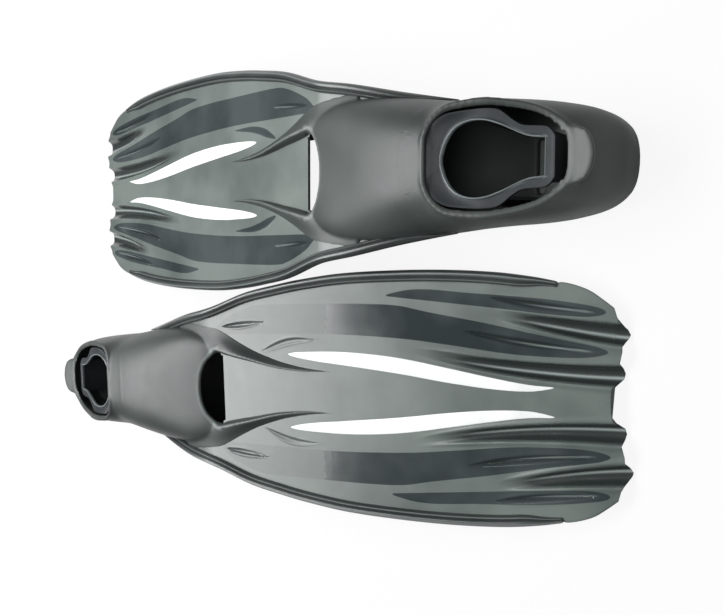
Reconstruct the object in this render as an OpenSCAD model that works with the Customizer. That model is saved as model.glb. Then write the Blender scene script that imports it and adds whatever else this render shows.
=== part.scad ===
// A pair of full-foot swim fins, lying top side up and head to tail.
// Each fin: rubber foot pocket, corrugated blade with its underfoot tray, two edge rails,
// two white inlays, and a loose plastic former that keeps the pocket open in storage.
// One fin is modelled on the floor: +X from heel to tip, +Y to its left, origin under the toe slot.

/* [Blade] */
// Length of the blade from the toe slot to the middle of the tip edge
blade_l = 358; // [330:1:390]
// Greatest width over the rails
blade_w = 205; // [190:1:220]
// Plate thickness at the pocket
blade_t = 3; // [2.4:0.1:4]
// Plate thickness at the tip
tip_t = 2; // [1.6:0.1:2.6]
// Slope of the blade down from the toes to the tip, in degrees
blade_slope = 9.3; // [7:0.1:12]
// Depth of the four long channels at the tip
channel_d = 7; // [4:0.5:9]
// Half the width of a long channel at the tip
channel_b = 7.8; // [6:0.1:9]
// Depth of the four narrow leaf grooves between the channels
leaf_d = 2.2; // [1:0.1:3]
// How far the inner ribs of the tip edge stand out past its middle
tip_scallop = 9; // [4:1:14]

/* [Foot pocket] */
// Length from the back of the heel to the toe slot
pocket_l = 245; // [225:1:270]
// Width outside at the ball of the foot
ball_w = 112; // [104:1:120]
// Width outside at the heel
heel_w = 81; // [74:1:88]
// Height of the instep rim above the floor
instep_h = 98.5; // [90:0.5:106]
// Height of the heel rim above the floor
heel_rim_h = 72; // [66:0.5:76]
// Where the instep rim lies, behind the toe slot
instep_back = 118; // [108:1:128]
// Thickness of the rubber side wall
wall_t = 4.6; // [4:0.1:6]
// Thickness of the sole, tray included
sole_t = 9; // [8:0.5:12]
// Height of the sole under the toes
toe_lift = 33; // [28:1:38]
// Half the width of the toe opening
toe_open_b = 33.5; // [30:0.5:36]
// Height of the horns that run from the pocket on to the blade
horn_h = 10; // [7:0.5:13]
// Length of the horns past the toe slot
horn_l = 136; // [120:1:150]
// Width of the pull tab on the heel rim
tab_w = 37; // [28:1:44]
// How far the pull tab stands out behind the rim
tab_out = 15; // [10:1:20]
// Length of the drain slot across the heel of the sole
drain_l = 40; // [30:1:44]
// Width of the drain slot
drain_w = 6; // [4:0.5:8]

/* [Tray] */
// Thickness of the stiff tray that runs under the foot
tray_t = 1.6; // [1.2:0.1:2]
// Rubber between the tray and the outside
tray_cover = 1.5; // [1.2:0.1:2]
// Where the tray ends, ahead of the back of the heel
tray_end = 52; // [40:1:70]

/* [Rails] */
// Width of an edge rail
rail_w = 9.5; // [8:0.1:12]
// Height of an edge rail
rail_h = 12; // [9:0.5:14]
// Where a rail ends, past the toe slot
rail_front = 322; // [300:1:330]
// Where a rail begins on the side of the pocket, behind the toe slot
rail_back = 112; // [95:1:118]

/* [Inlays] */
// Thickness of a white inlay
inlay_t = 1.2; // [0.8:0.1:1.6]
// Greatest width of a white inlay
inlay_w = 13; // [9:0.5:15]
// Where an inlay begins, past the toe slot
inlay_start = 84; // [76:1:95]
// Length of an inlay
inlay_l = 234; // [210:1:236]

/* [Former] */
// Thickness of the plastic former
former_t = 2.4; // [1.8:0.1:3]
// Half the width of the round part of its keyhole
keyhole_b = 27.5; // [24:0.5:29]
// Half the width of the neck of its keyhole
neck_b = 12.5; // [10:0.5:14]
// Greatest width of the former
former_w = 65; // [60:1:66]
// Clearance between the former's feet and the insole
former_gap = 0.8; // [0.7:0.1:1.2]

/* [Pair] */
// Clearance between the two fins where their edges come closest
pair_gap = 2.8; // [0.5:0.1:60]
// Distance between the two toe slots, along the fins
pair_y = 137; // [120:1:150]
// Turn of the left fin, in degrees
left_turn = -0.4; // [-2:0.1:2]
// Turn of the right fin, in degrees
right_turn = -3.1; // [-4:0.1:2]

/* [Hidden] */
rubber = "#3c4043";
plastic = "#4d5255";
former_black = "#1d1f21";
white = "#f4f4f2";
seat = 0.1;              // gap round what lies in a moulded recess
far = 400;               // reach of a cutter past everything it cuts
rear_in = 28;            // where the rim begins, ahead of the back of the heel
drain_at = 76;           // middle of the drain slot, ahead of the back of the heel
arm_l = 74;              // reach of the plate's arms back along the pocket
arm_drop = 21;           // how far the arms come down over that reach
horn_b = 8.2;            // width of a horn where it leaves the pocket
leg_front = 28;          // front and back of a side leg, behind the front of the former
leg_back = 54;
half_w = blade_w / 2;

// ---- shared curves -------------------------------------------------------------------------------

function clamp(t) = min(1, max(0, t));
function ease(t) = let (c = clamp(t)) c * c * (3 - 2 * c);
function signed_pow(v, e) = sign(v) * pow(abs(v), e);

// Smooth curve through rows [x, value], by Catmull-Rom pieces.
function row_of(table, x, i = 0) =
    i >= len(table) - 2 || x < table[i + 1][0] ? i : row_of(table, x, i + 1);
function smooth_lookup(table, x) =
    let (i = row_of(table, x), a = table[i], b = table[i + 1],
         before = table[max(0, i - 1)], after = table[min(len(table) - 1, i + 2)],
         span = b[0] - a[0], t = clamp((x - a[0]) / span),
         ma = (b[1] - before[1]) / (b[0] - before[0]) * span,
         mb = (after[1] - a[1]) / (after[0] - a[0]) * span)
    (2 * t * t * t - 3 * t * t + 1) * a[1] + (t * t * t - 2 * t * t + t) * ma
    + (3 * t * t - 2 * t * t * t) * b[1] + (t * t * t - t * t) * mb;

// Solid between rings of equal length, each anticlockwise as seen from +X.
module loft(rings) {
    n = len(rings[0]);
    m = len(rings);
    sides = [for (i = [0 : m - 2], j = [0 : n - 1], k = [0, 1])
        let (a = i * n + j, b = i * n + (j + 1) % n)
        k == 0 ? [a, b + n, b] : [a, a + n, b + n]];
    caps = [[for (j = [0 : n - 1]) j], [for (j = [n - 1 : -1 : 0]) (m - 1) * n + j]];
    polyhedron(points = [for (ring = rings, p = ring) p], faces = concat(sides, caps), convexity = 8);
}

// ---- blade ---------------------------------------------------------------------------------------

tip_far = tip_scallop + 5;   // reach of the outer ribs past blade_l
tip_drop = channel_d + tip_t;
toe_h = (blade_l + tip_far) * sin(blade_slope) + tip_drop * cos(blade_slope); // blade face over the origin

// A point of the blade: u along it from the toe slot, v to the left, w above its face.
function on_blade(u, v, w) = [u * cos(blade_slope) + w * sin(blade_slope), v,
                              toe_h - u * sin(blade_slope) + w * cos(blade_slope)];
module blade_frame() {
    translate([0, 0, toe_h]) rotate([0, blade_slope, 0]) children();
}

arm_end = -arm_l;        // where the plate ends on the sides of the pocket
corner_b = 0.683;        // half width of the tip edge, as a share of half_w
// Outer edge of the fin, as shares of blade_l and half_w.
edge_curve = [[-0.34, 0.47], [-0.21, 0.565], [-0.095, 0.66], [0, 0.725], [0.112, 0.85], [0.21, 0.915],
              [0.28, 0.952], [0.39, 0.99], [0.53, 1], [0.656, 0.99], [0.77, 0.96], [0.85, 0.918],
              [0.9, 0.88], [0.93, 0.857], [0.964, 0.81], [0.992, 0.74], [1.012, corner_b]];
function edge_v(u) = half_w * smooth_lookup(edge_curve, u / blade_l);

// The plate stops under the middle of the rail, and is the edge itself past the rail.
function plate_v(u) = edge_v(u) - rail_w * 0.45 * (1 - ease((u - rail_front + 8) / 12));

// The plate follows the sides of the pocket down behind the toe slot.
function side_drop(u) = u > 0 ? 0 : -arm_drop * pow(-u / (arm_l - 4), 1.5);

// Two long channels a side: where each starts, where it ends, its middle line and half width.
channel_start = [0.583 * blade_l, 0.776 * blade_l];
channel_end = [blade_l + tip_scallop, blade_l + tip_far];
function channel_left(k, u) = max(0, channel_end[k] - u) / blade_l;
function channel_v(k, u) = half_w * (k == 0 ? 0.205 + 0.147 * pow(channel_left(0, u) / 0.44, 2)
                                            : 0.492 + 0.145 * pow(channel_left(1, u) / 0.26, 1.3));
function channel_on(k, u) = clamp((u - channel_start[k]) / (channel_end[k] - channel_start[k]));
function channel_half(k, u) = channel_b * (0.25 + 0.75 * sqrt(channel_on(k, u)));
function channel_depth(k, u) = channel_d * ease(channel_on(k, u) * 1.5);

// Ahead of its start a channel's three lines keep their share of the plate's width.
function channel_line(k, u, across) =
    let (at = max(u, channel_start[k])) (channel_v(k, at) + across * channel_half(k, at)) * plate_v(u) / plate_v(at);

// Lines along the blade from its middle to one edge: [v, w] pairs at u.
function blade_lines(u) = concat([[0, 0]],
    [for (k = [0, 1], across = [-1, 0, 1]) [channel_line(k, u, across), across == 0 ? -channel_depth(k, u) : 0]],
    [[plate_v(u), 0]]);

// How far past blade_l the tip edge reaches at each of those lines.
tip_edge = [0, tip_scallop * 0.3, tip_scallop + 1, tip_scallop * 0.8, tip_scallop, tip_far, tip_scallop * 0.8, 4];
blade_u = concat([for (u = [arm_end, -50, -28, -8, 12]) u], [for (s = [0.11 : 0.115 : 0.57]) s * blade_l],
                 [for (s = [0.6, 0.65, 0.71, 0.77, 0.83, 0.88, 0.93, 0.975]) s * blade_l]);

function blade_row(u, at_tip) =
    let (half = blade_lines(u), n = len(half) - 1, drop = side_drop(u),
         thick = blade_t + (tip_t - blade_t) * clamp(u / blade_l))
    concat([for (j = [-n : n]) on_blade(at_tip ? blade_l + tip_edge[abs(j)] : u,
                                        sign(j) * half[abs(j)][0], half[abs(j)][1] + drop)],
           [for (j = [n : -1 : -n]) on_blade(at_tip ? blade_l + tip_edge[abs(j)] : u,
                                             sign(j) * half[abs(j)][0], half[abs(j)][1] + drop - thick)]);

module blade_plate() {
    rows = concat([for (u = blade_u) blade_row(u, false)], [blade_row(blade_l + tip_scallop - 4, true)]);
    n = len(rows[0]);
    half = n / 2;
    m = len(rows);
    sides = [for (i = [0 : m - 2], j = [0 : n - 1], k = [0, 1])
        let (a = i * n + j, b = i * n + (j + 1) % n)
        k == 0 ? [a, b, b + n] : [a, b + n, a + n]];
    caps = [for (end = [0, (m - 1) * n], j = [0 : half - 2], k = [0, 1])
        let (a = end + j, b = end + j + 1, c = end + n - 2 - j, d = end + n - 1 - j)
        end == 0 ? (k == 0 ? [a, c, b] : [a, d, c]) : (k == 0 ? [a, b, c] : [a, c, d])];
    polyhedron(points = [for (row = rows, p = row) p], faces = concat(sides, caps), convexity = 8);
}

// A groove pressed into the face: flat balls hulled along a path of [u, v, half width].
module groove(path) {
    for (i = [0 : len(path) - 2])
        hull() for (p = [path[i], path[i + 1]])
            blade_frame() translate([p[0], p[1], 0.2]) scale([p[2], p[2], leaf_d + 0.2]) sphere(1, $fn = 6);
}
// Narrow leaves and a crescent: [start, end, v at the start, v at the end, bow, half width].
leaf_b = 3.3;
leaves = [[0.69, 0.975, 0.52, 0.378, -0.02, leaf_b], [0.752, 0.965, 0.773, 0.657, -0.01, leaf_b],
          [0.03, 0.175, 0.547, 0.592, 0, leaf_b * 0.6], [0.162, 0.316, 0.336, 0.432, 0.045, leaf_b * 0.7]];
leaf_n = 3;
module leaf(l, side) {
    groove([for (i = [0 : leaf_n]) let (t = i / leaf_n)
        [(l[0] + (l[1] - l[0]) * t) * blade_l, side * half_w * (l[2] + (l[3] - l[2]) * t + l[4] * sin(180 * t)),
         l[5] * (0.25 + 0.75 * sin(180 * pow(t, 0.8)))]]);
}

// ---- foot pocket ---------------------------------------------------------------------------------

heel_x = -pocket_l;
instep_x = -instep_back;
ball_b = ball_w / 2;
heel_b = heel_w / 2;
// Rows [x as a share of pocket_l, value]; 0 is the back of the heel and 1 the toe slot.
width_curve = [[0, 0.12], [0.012, 0.4], [0.035, 0.62], [0.085, 0.83], [0.17, 0.975], [0.26, 1.05],
               [0.38, 1.1], [0.5, 1.17]];
front_curve = [[0.38, 0.795], [0.52, 0.865], [0.63, 0.935], [0.75, 1], [0.83, 1], [0.89, 0.97],
               [0.95, 0.9], [1, 0.82], [1.06, 0.75], [1.12, 0.66]];
bottom_curve = [[0, 0.5], [0.012, 0.3], [0.035, 0.12], [0.085, 0.005], [0.17, -0.02], [0.26, 0.0],
                [0.4, 0.14], [0.6, 0.42], [0.8, 0.72], [0.95, 0.93], [1, 1.02], [1.04, 1.2], [1.08, 1.5], [1.12, 1.78]];
top_curve = [[0, 0.3], [0.012, 0.43], [0.035, 0.56], [0.085, 0.86], [0.127, 1], [0.167, 1.13], [0.216, 1.36],
             [0.28, 1.58], [0.34, 1.78], [0.416, 1.64], [0.48, 1.52], [0.56, 1.46]];
arch_curve = [[0.38, 1.03], [0.48, 1.01], [0.52, 1], [0.63, 0.985], [0.75, 0.94], [0.87, 0.865], [0.95, 0.81],
              [1, 0.77], [1.06, 0.7], [1.12, 0.625]];
mid_curve = [[0, 0.223], [0.1, 0.274], [0.3, 0.305], [0.5, 0.365], [0.75, 0.477], [0.9, 0.548], [1, 0.579],
             [1.12, 0.612]];
blend_at = 0.48;
blend_over = 0.08;

function share(x) = 1 + x / pocket_l;
function mixed(s, back, front) =
    let (t = ease((s - blend_at + blend_over / 2) / blend_over)) back + (front - back) * t;
function pocket_b(x) = let (s = share(x)) mixed(s, heel_b * smooth_lookup(width_curve, min(s, 0.5)),
                                                ball_b * smooth_lookup(front_curve, max(s, 0.38)));
function pocket_bottom(x) = toe_lift * smooth_lookup(bottom_curve, share(x));
function pocket_top(x) = let (s = share(x)) mixed(s, heel_rim_h * smooth_lookup(top_curve, min(s, 0.56)),
                                                  instep_h * smooth_lookup(arch_curve, max(s, 0.38)));
function pocket_mid(x) = let (t = pocket_top(x), b = pocket_bottom(x))
    min(instep_h * smooth_lookup(mid_curve, share(x)), t - 0.35 * (t - b));

ring_n = 20;
function top_power(x) = 0.74 - 0.24 * ease((share(x) - 0.72) / 0.26);   // squarer over the toes
sole_power = 0.5;
function pocket_point(x, a, side_in, top_in, sole_in) =
    let (top_power = top_power(x), b = max(1.5, pocket_b(x) - side_in), mid = pocket_mid(x), up = sin(a) > 0,
         rise = max(0.8, up ? pocket_top(x) - top_in - mid : mid - pocket_bottom(x) - sole_in),
         e = up ? top_power : sole_power)
    [b * signed_pow(cos(a), e), mid + rise * signed_pow(sin(a), e)];
function pocket_ring(x, at, side_in, top_in, sole_in) =
    [for (i = [0 : ring_n - 1]) let (p = pocket_point(at, 360 * i / ring_n, side_in, top_in, sole_in))
        [x, p[0], p[1]]];
// Half width of the outside at height z, and height of its top at half width y.
function width_at(x, z) = let (top_power = top_power(x), m = pocket_mid(x), r = clamp((z - m) / (pocket_top(x) - m)))
    pocket_b(x) * pow(cos(asin(pow(r, 1 / top_power))), top_power);
function height_at(x, y) = let (top_power = top_power(x), m = pocket_mid(x), r = clamp(abs(y) / pocket_b(x)))
    m + (pocket_top(x) - m) * pow(sin(acos(pow(r, 1 / top_power))), top_power);

outer_x = [for (s = [0, 0.008, 0.03, 0.07, 0.13, 0.19, 0.27, 0.36, 0.45, 0.55, 0.66, 0.77, 0.87,
                     0.95, 1.01, 1.06, 1.12]) heel_x + s * pocket_l];
module pocket_outside() { loft([for (x = outer_x) pocket_ring(x, x, 0, 0, 0)]); }

// The foot's room: the outside drawn in by the walls. Near the heel it also moves forwards.
function heel_shift(s, d) = d * (1 - ease(s / 0.16));
module foot_room(d = 0) {
    wall = wall_t - d;
    loft([for (s = [0.003, 0.02, 0.06, 0.12, 0.2, 0.3, 0.42, 0.55, 0.7, 0.84, 0.95, 1.05])
        let (at = heel_x + s * pocket_l, x = at + heel_shift(s, wall_t + 1 - d))
        pocket_ring(x, at, wall, wall * 0.8, sole_t - d)]);
}

// Height of the rim of the foot opening, and everything above it in side view.
rear_x = heel_x + rear_in;
rim_rise = [[0, 0], [0.1, 0.05], [0.23, 0.17], [0.4, 0.36], [0.55, 0.54], [0.75, 0.68], [0.9, 0.8], [0.96, 0.89], [1, 1]];
function rim_z(x) = let (t = (x - rear_x) / (instep_x - rear_x))
    heel_rim_h - 0.5 + (instep_h + 0.5 - heel_rim_h) * smooth_lookup(rim_rise, t);
module opening_cut() {
    rotate([90, 0, 0]) translate([0, 0, -far / 2]) linear_extrude(far)
        polygon(concat([[heel_x - 20, heel_rim_h - 3]],
                       [for (t = [0 : 0.1 : 1]) let (x = rear_x + t * (instep_x - rear_x)) [x, rim_z(x)]],
                       [[instep_x + 0.5, far], [heel_x - 20, far]]));
}
// Bead: small balls hulled along a path.
module bead(path, r) {
    for (i = [0 : len(path) - 2])
        hull() for (p = [path[i], path[i + 1]]) translate(p) sphere(r, $fn = 6);
}
bead_r = 1.7;
bead_n = 6;
function rim_point(i) = let (t = (1 - cos(180 * abs(i) / bead_n)) / 2, x = instep_x - 1 - t * (instep_x - 1 - rear_x - 0.4))
    [x - 0.6 * (1 - 2 * t), sign(i) * (abs(i) == bead_n ? 0 : width_at(x, rim_z(x)) - 1), min(rim_z(x), pocket_top(x)) - 0.8];
module rim_bead() {
    bead([for (i = [-bead_n : bead_n]) rim_point(i)], bead_r);
}

// Rim of the toe opening and the inner line of a horn, from the middle outwards: [x, y].
function horn_in(u) = toe_open_b * smooth_lookup([[0, 0.97], [0.09, 1.01], [0.16, 0.94], [0.27, 0.745],
                                                  [0.47, 0.62], [0.63, 0.53], [0.8, 0.495], [1, 0.53]], u / horn_l);
function horn_out(u) = horn_in(u) + horn_b * pow(1 - clamp(u / horn_l), 1.3);
toe_rim = [[-13, 0], [-12.4, 0.25], [-10.6, 0.45], [-7, 0.68], [-2, 0.87], [5, 0.975]];
toe_plan = concat([for (p = toe_rim) [p[0], p[1] * toe_open_b]],
                  [for (s = [0.09, 0.16, 0.27, 0.47, 0.63, 0.8, 1, 1.1]) [s * horn_l, horn_in(s * horn_l)]]);
function mirrored(points) = concat(points, [for (i = [len(points) - 1 : -1 : 1]) [points[i][0], -points[i][1]]]);

// A horn: a ridge on the blade, steep inside and sloping outside, that fades to a point.
horn_u = [-30, -14, 0, 16, 36, 60, 90, 116, 0.985 * horn_l];
module horn(side) {
    rings = [for (u = horn_u)
        let (a = horn_in(max(u, 0)), b = u < 0 ? a + horn_b - u * 0.32 : horn_out(u),
             h = horn_h * (pow(1 - clamp(u / horn_l), 0.9) - 0.22 * ease(-u / 30)) + 0.15, low = side_drop(u) - 2.2,
             pts = [[a, low], [b, low], [b, 0.05 + side_drop(u)], [a + (b - a) * 0.66, h * 0.3 + side_drop(u) * 0.6],
                    [a + (b - a) * 0.38, h * 0.8 + side_drop(u) * 0.3], [a + min(1.3, (b - a) * 0.2), h],
                    [a, h * 0.86]])
        [for (i = [0 : 6]) let (p = pts[side > 0 ? i : 6 - i]) on_blade(u, side * p[0], p[1])]];
    loft(rings);
}

// Pull tab: a tongue that leans back from the heel rim.
module pull_tab() {
    translate([rear_x, 0, heel_rim_h]) rotate([0, -14, 0]) translate([0, 0, -4])
        linear_extrude(3.4) intersection() {
            translate([1.5, 0]) scale([1, 1]) union() {
                polygon([[0, -tab_w / 2], [-tab_out * 0.45, -tab_w * 0.42], [-tab_out * 0.85, -tab_w * 0.24],
                         [-tab_out, 0], [-tab_out * 0.85, tab_w * 0.24], [-tab_out * 0.45, tab_w * 0.42],
                         [0, tab_w / 2]]);
            }
            translate([-far, -far / 2]) square([far + 1, far]);
        }
}

// Stiff tray: a gutter inside the sole and the lower side walls, one piece with the blade.
tray_arc = [-196, 16];
tray_front = -15;
module tray() {
    steps = 8;
    arc = function(x, d, s) let (a = tray_arc[0] + (tray_arc[1] - tray_arc[0]) * s / steps,
                                 p = pocket_point(x, a, d, d, d + 0.6)) [x, p[0], p[1]];
    n_x = 5;
    loft([for (i = [0 : n_x])
        let (x = heel_x + tray_end + (tray_front - heel_x - tray_end) * i / n_x)
        concat([for (s = [0 : steps]) arc(x, tray_cover, s)],
               [for (s = [steps : -1 : 0]) arc(x, tray_cover + tray_t, s)])]);
}

// Raised rim round the toe opening, as far as the horns.
toe_bead = [for (i = [-5, -4, -3, -1, 1, 3, 4, 5]) let (p = toe_rim[abs(i)], x = p[0] - 1.2, y = sign(i) * (p[1] * toe_open_b + 1))
    [x, y, height_at(x, y) - 0.4]];

toe_hole_x = 12.4;       // front edge of the toe slot, on the blade
sole_front = -11;        // front edge of the sole
module toe_hole() {
    b = toe_open_b - 3.5;
    translate([0, 0, -far / 2]) linear_extrude(far)
        offset(r = 6, $fn = 16) offset(delta = -6)
            polygon([[sole_front, -b], [toe_hole_x, -b], [toe_hole_x, b], [sole_front, b]]);
}
// Room over and behind the toe slot between the two arms of the plate.
module arm_gap() {
    translate([0, 0, -far / 2]) linear_extrude(far)
        polygon([[arm_end - 1, -toe_open_b], [toe_hole_x, -toe_open_b + 3.5], [toe_hole_x, toe_open_b - 3.5],
                 [arm_end - 1, toe_open_b]]);
}

module blade_body() {
    difference() {
        blade_plate();
        arm_gap();
        foot_room(1.2);
    }
    difference() {
        tray();
        drain_slot();
    }
}

module drain_slot() {
    translate([heel_x + drain_at, 0, -1])
        linear_extrude(40) offset(r = 1.5, $fn = 12) square([drain_w - 3, drain_l - 3], center = true);
}

module foot_pocket() {
    color(rubber)
    difference() {
        union() {
            difference() {
                pocket_outside();
                opening_cut();
            }
            horn(1);
            horn(-1);
            pull_tab();
            rim_bead();
            bead(toe_bead, 1.4);
        }
        foot_room();
        translate([0, 0, toe_h - 30]) linear_extrude(far) polygon(mirrored(toe_plan));
        toe_hole();
        blade_body();
        drain_slot();
        translate([-far, -far / 2, -far]) cube([far * 2, far, far]);
    }
}

module blade() {
    color(plastic)
    difference() {
        blade_body();
        for (side = [-1, 1]) {
            inlay_recess(side);
            for (l = leaves) leaf(l, side);
        }
    }
}

// ---- rails ---------------------------------------------------------------------------------------

rail_u = concat([for (s = [0 : 3]) -rail_back + s * (rail_back + 4) / 3],
                [for (s = [0.085 : 0.13 : 0.8]) s * blade_l], [rail_front - 14, rail_front - 5, rail_front]);
function rail_size(u) = (0.12 + 0.88 * ease((u + rail_back) / 34)) * (1 - 0.25 * ease((u - rail_front + 14) / 14));
rail_full = 1 / cos(22.5);           // an eight-sided ball is scaled up to its round size
module rail_ball(u) {
    k = rail_size(u);
    blade_frame() translate([u, edge_v(u) - rail_w / 2 * k, side_drop(u) - blade_t / 2 + 0.6])
        scale([3, rail_w / 2 * k * rail_full, rail_h / 2 * k * rail_full]) sphere(1, $fn = 8);
}
// Rounded rail: flattened balls hulled along the edge of the fin.
module rail(side) {
    color(rubber)
    difference() {
        mirror([0, side > 0 ? 0 : 1, 0])
            for (i = [0 : len(rail_u) - 2])
                hull() {
                    rail_ball(rail_u[i]);
                    rail_ball(rail_u[i + 1]);
                }
        blade_body();
        pocket_outside();
        translate([-far, -far / 2, -far]) cube([far * 2, far, far]);
    }
}

// ---- inlays --------------------------------------------------------------------------------------

// Middle line and half width of an inlay, along s from 0 at the pocket to 1 at the tip.
function inlay_v(s) = half_w * smooth_lookup([[0, 0.315], [0.1, 0.302], [0.25, 0.284], [0.45, 0.24], [0.65, 0.17],
                                              [0.8, 0.122], [0.92, 0.098], [1, 0.1075]], s);
function inlay_b(s) = inlay_w / 2 * pow(sin(180 * pow(s, 0.85)), 0.62);
inlay_n = 16;
function inlay_plan(side, grow) = let (s_at = [for (i = [0 : inlay_n]) (1 - cos(180 * i / inlay_n)) / 2])
    concat([for (s = s_at) [inlay_start + s * inlay_l, side * (inlay_v(s) + inlay_b(s) + grow)]],
           [for (i = [inlay_n - 1 : -1 : 1]) let (s = s_at[i])
               [inlay_start + s * inlay_l, side * (inlay_v(s) - inlay_b(s) - grow)]]);
module inlay_recess(side) {
    blade_frame() translate([0, 0, -inlay_t]) linear_extrude(far) polygon(inlay_plan(side, seat));
}
module inlay(side) {
    color(white) blade_frame() translate([0, 0, -inlay_t]) linear_extrude(inlay_t + 0.15) polygon(inlay_plan(side, 0));
}

// ---- former --------------------------------------------------------------------------------------

former_front = instep_x - 1.8;
former_rear = rear_x + wall_t + 5.4;
former_l = former_front - former_rear;
keyhole_front = former_front - 9.5;
keyhole_rear = former_rear + 8.5;
// Its face follows the rim, and arches up under the instep.
function former_z(x, y) = rim_z(min(x, instep_x - 8)) - 2.5
    + (instep_h - 6 - rim_z(instep_x - 8)) * ease((x - former_front + 40) / 36) * (1 - pow(y / 34, 2));
// Half widths along the former and along its keyhole, by share from the rear to the front.
function former_out(t) = former_w / 2 * smooth_lookup([[0, 0.42], [0.03, 0.54], [0.07, 0.62], [0.245, 0.67], [0.32, 0.79],
    [0.42, 0.92], [0.55, 1], [0.65, 1], [0.745, 0.93], [0.85, 0.79], [0.93, 0.58], [1, 0.22]], t);
function keyhole_half(t) = smooth_lookup([[0, neck_b], [0.147, neck_b + 1.3], [0.26, neck_b + 4.5], [0.41, keyhole_b * 0.86],
    [0.57, keyhole_b], [0.73, keyhole_b * 0.99], [0.87, keyhole_b * 0.8], [0.96, keyhole_b * 0.44], [1, keyhole_b * 0.1]], t);
former_n = 14;
function loop_share(i) = (1 - cos(180 * i / former_n)) / 2;
function former_station(t, side) =
    let (xo = former_rear + t * former_l, xi = keyhole_rear + t * (keyhole_front - keyhole_rear),
         yo = side * former_out(t), yi = side * keyhole_half(t))
    [[xi, yi, former_z(xi, yi)], [xo, yo, former_z(xo, yo)],
     [xo, yo, former_z(xo, yo) - former_t], [xi, yi, former_z(xi, yi) - former_t]];
module former_collar() {
    stations = concat([for (i = [0 : former_n]) former_station(loop_share(i), 1)],
                      [for (i = [former_n : -1 : 0]) former_station(loop_share(i), -1)]);
    m = len(stations);
    faces = [for (i = [0 : m - 1], j = [0 : 3], k = [0, 1])
        let (a = i * 4 + j, b = i * 4 + (j + 1) % 4, c = ((i + 1) % m) * 4 + (j + 1) % 4, d = ((i + 1) % m) * 4 + j)
        k == 0 ? [a, b, c] : [a, c, d]];
    polyhedron(points = [for (s = stations, p = s) p], faces = faces, convexity = 8);
}
leg_n = 3;
leg_x = [for (i = [0 : leg_n]) former_front - leg_back + (leg_back - leg_front) * i / leg_n];
// Height of the foot room's floor at half width y.
function floor_at(x, y) = let (m = pocket_mid(x), r = clamp(y / (pocket_b(x) - wall_t)))
    m - (m - pocket_bottom(x) - sole_t) * pow(sin(acos(pow(r, 1 / sole_power))), sole_power);
module former_leg(side) {
    b = [for (x = leg_x) former_out((x - former_rear) / former_l) - former_t - 0.7];
    top = [for (i = [0 : leg_n]) former_z(leg_x[i], b[i]) - former_t * 0.6];
    low = [for (i = [0 : leg_n]) floor_at(leg_x[i], b[i]) + former_gap];
    foot_b = [for (k = b) k - 2];
    ring = function(i) [[leg_x[i], side * foot_b[i], low[i]], [leg_x[i], side * (foot_b[i] + former_t), low[i]],
                        [leg_x[i], side * (b[i] + former_t), top[i]], [leg_x[i], side * b[i], top[i]]];
    loft([for (i = [0 : leg_n]) let (r = ring(i)) side > 0 ? r : [r[3], r[2], r[1], r[0]]]);
}
module former_heel_plate() {
    x = former_rear + 2;
    b = former_w / 2 * 0.46;
    low = pocket_bottom(x) + sole_t + former_gap;
    translate([x, 0, 0]) rotate([90, 0, 90]) linear_extrude(former_t)
        offset(r = 4, $fn = 32) offset(delta = -4)
            polygon([[-b, low], [b, low], [b + 2, former_z(x, b) - former_t / 2], [-b - 2, former_z(x, b) - former_t / 2]]);
}
module pocket_former() {
    color(former_black) {
        former_collar();
        former_leg(1);
        former_leg(-1);
        former_heel_plate();
    }
}

// ---- the pair ------------------------------------------------------------------------------------

// The pair is centred on its outline, seen from above.
outline = concat([for (u = rail_u, side = [-1, 1]) on_blade(u, side * edge_v(u), -blade_t / 2 + 0.6)],
                 blade_row(blade_l + tip_scallop - 4, true),
                 [for (i = [0 : 3], side = [-1, 1]) [outer_x[i], side * pocket_b(outer_x[i]), 0]]);
function turned(a, at) = [for (p = outline) at + [p[0] * cos(a) - p[1] * sin(a), p[0] * sin(a) + p[1] * cos(a)]];
// The inner edges of the two fins, each in its own turn: [along the pair, across].
function inner_edge(a) = [for (u = rail_u) let (p = on_blade(u, edge_v(u), 0)) [p[0] * sin(a) + p[1] * cos(a),
                                                                                p[0] * cos(a) - p[1] * sin(a)]];
left_edge = inner_edge(-90 + left_turn);
right_edge = inner_edge(90 + right_turn);
pair_x = pair_gap + max([for (p = left_edge) p[1] - lookup(p[0] + pair_y, right_edge)]);
both = concat(turned(-90 + left_turn, [-pair_x, pair_y] / 2), turned(90 + right_turn, [pair_x, -pair_y] / 2));
centre = [for (k = [0, 1]) (min([for (p = both) p[k]]) + max([for (p = both) p[k]])) / 2];
module left_place() {
    translate([-pair_x / 2 - centre[0], pair_y / 2 - centre[1], 0]) rotate([0, 0, -90 + left_turn]) children();
}
module right_place() {
    translate([pair_x / 2 - centre[0], -pair_y / 2 - centre[1], 0]) rotate([0, 0, 90 + right_turn]) children();
}

left_place() foot_pocket();  // left_foot_pocket
left_place() blade();  // left_blade
left_place() rail(-1);  // left_outer_rail
left_place() rail(1);  // left_inner_rail
left_place() inlay(-1);  // left_outer_inlay
left_place() inlay(1);  // left_inner_inlay
left_place() pocket_former();  // left_pocket_former
right_place() foot_pocket();  // right_foot_pocket
right_place() blade();  // right_blade
right_place() rail(-1);  // right_outer_rail
right_place() rail(1);  // right_inner_rail
right_place() inlay(-1);  // right_outer_inlay
right_place() inlay(1);  // right_inner_inlay
right_place() pocket_former();  // right_pocket_former
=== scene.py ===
import bpy
import numpy as np
from mathutils import Matrix


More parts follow.
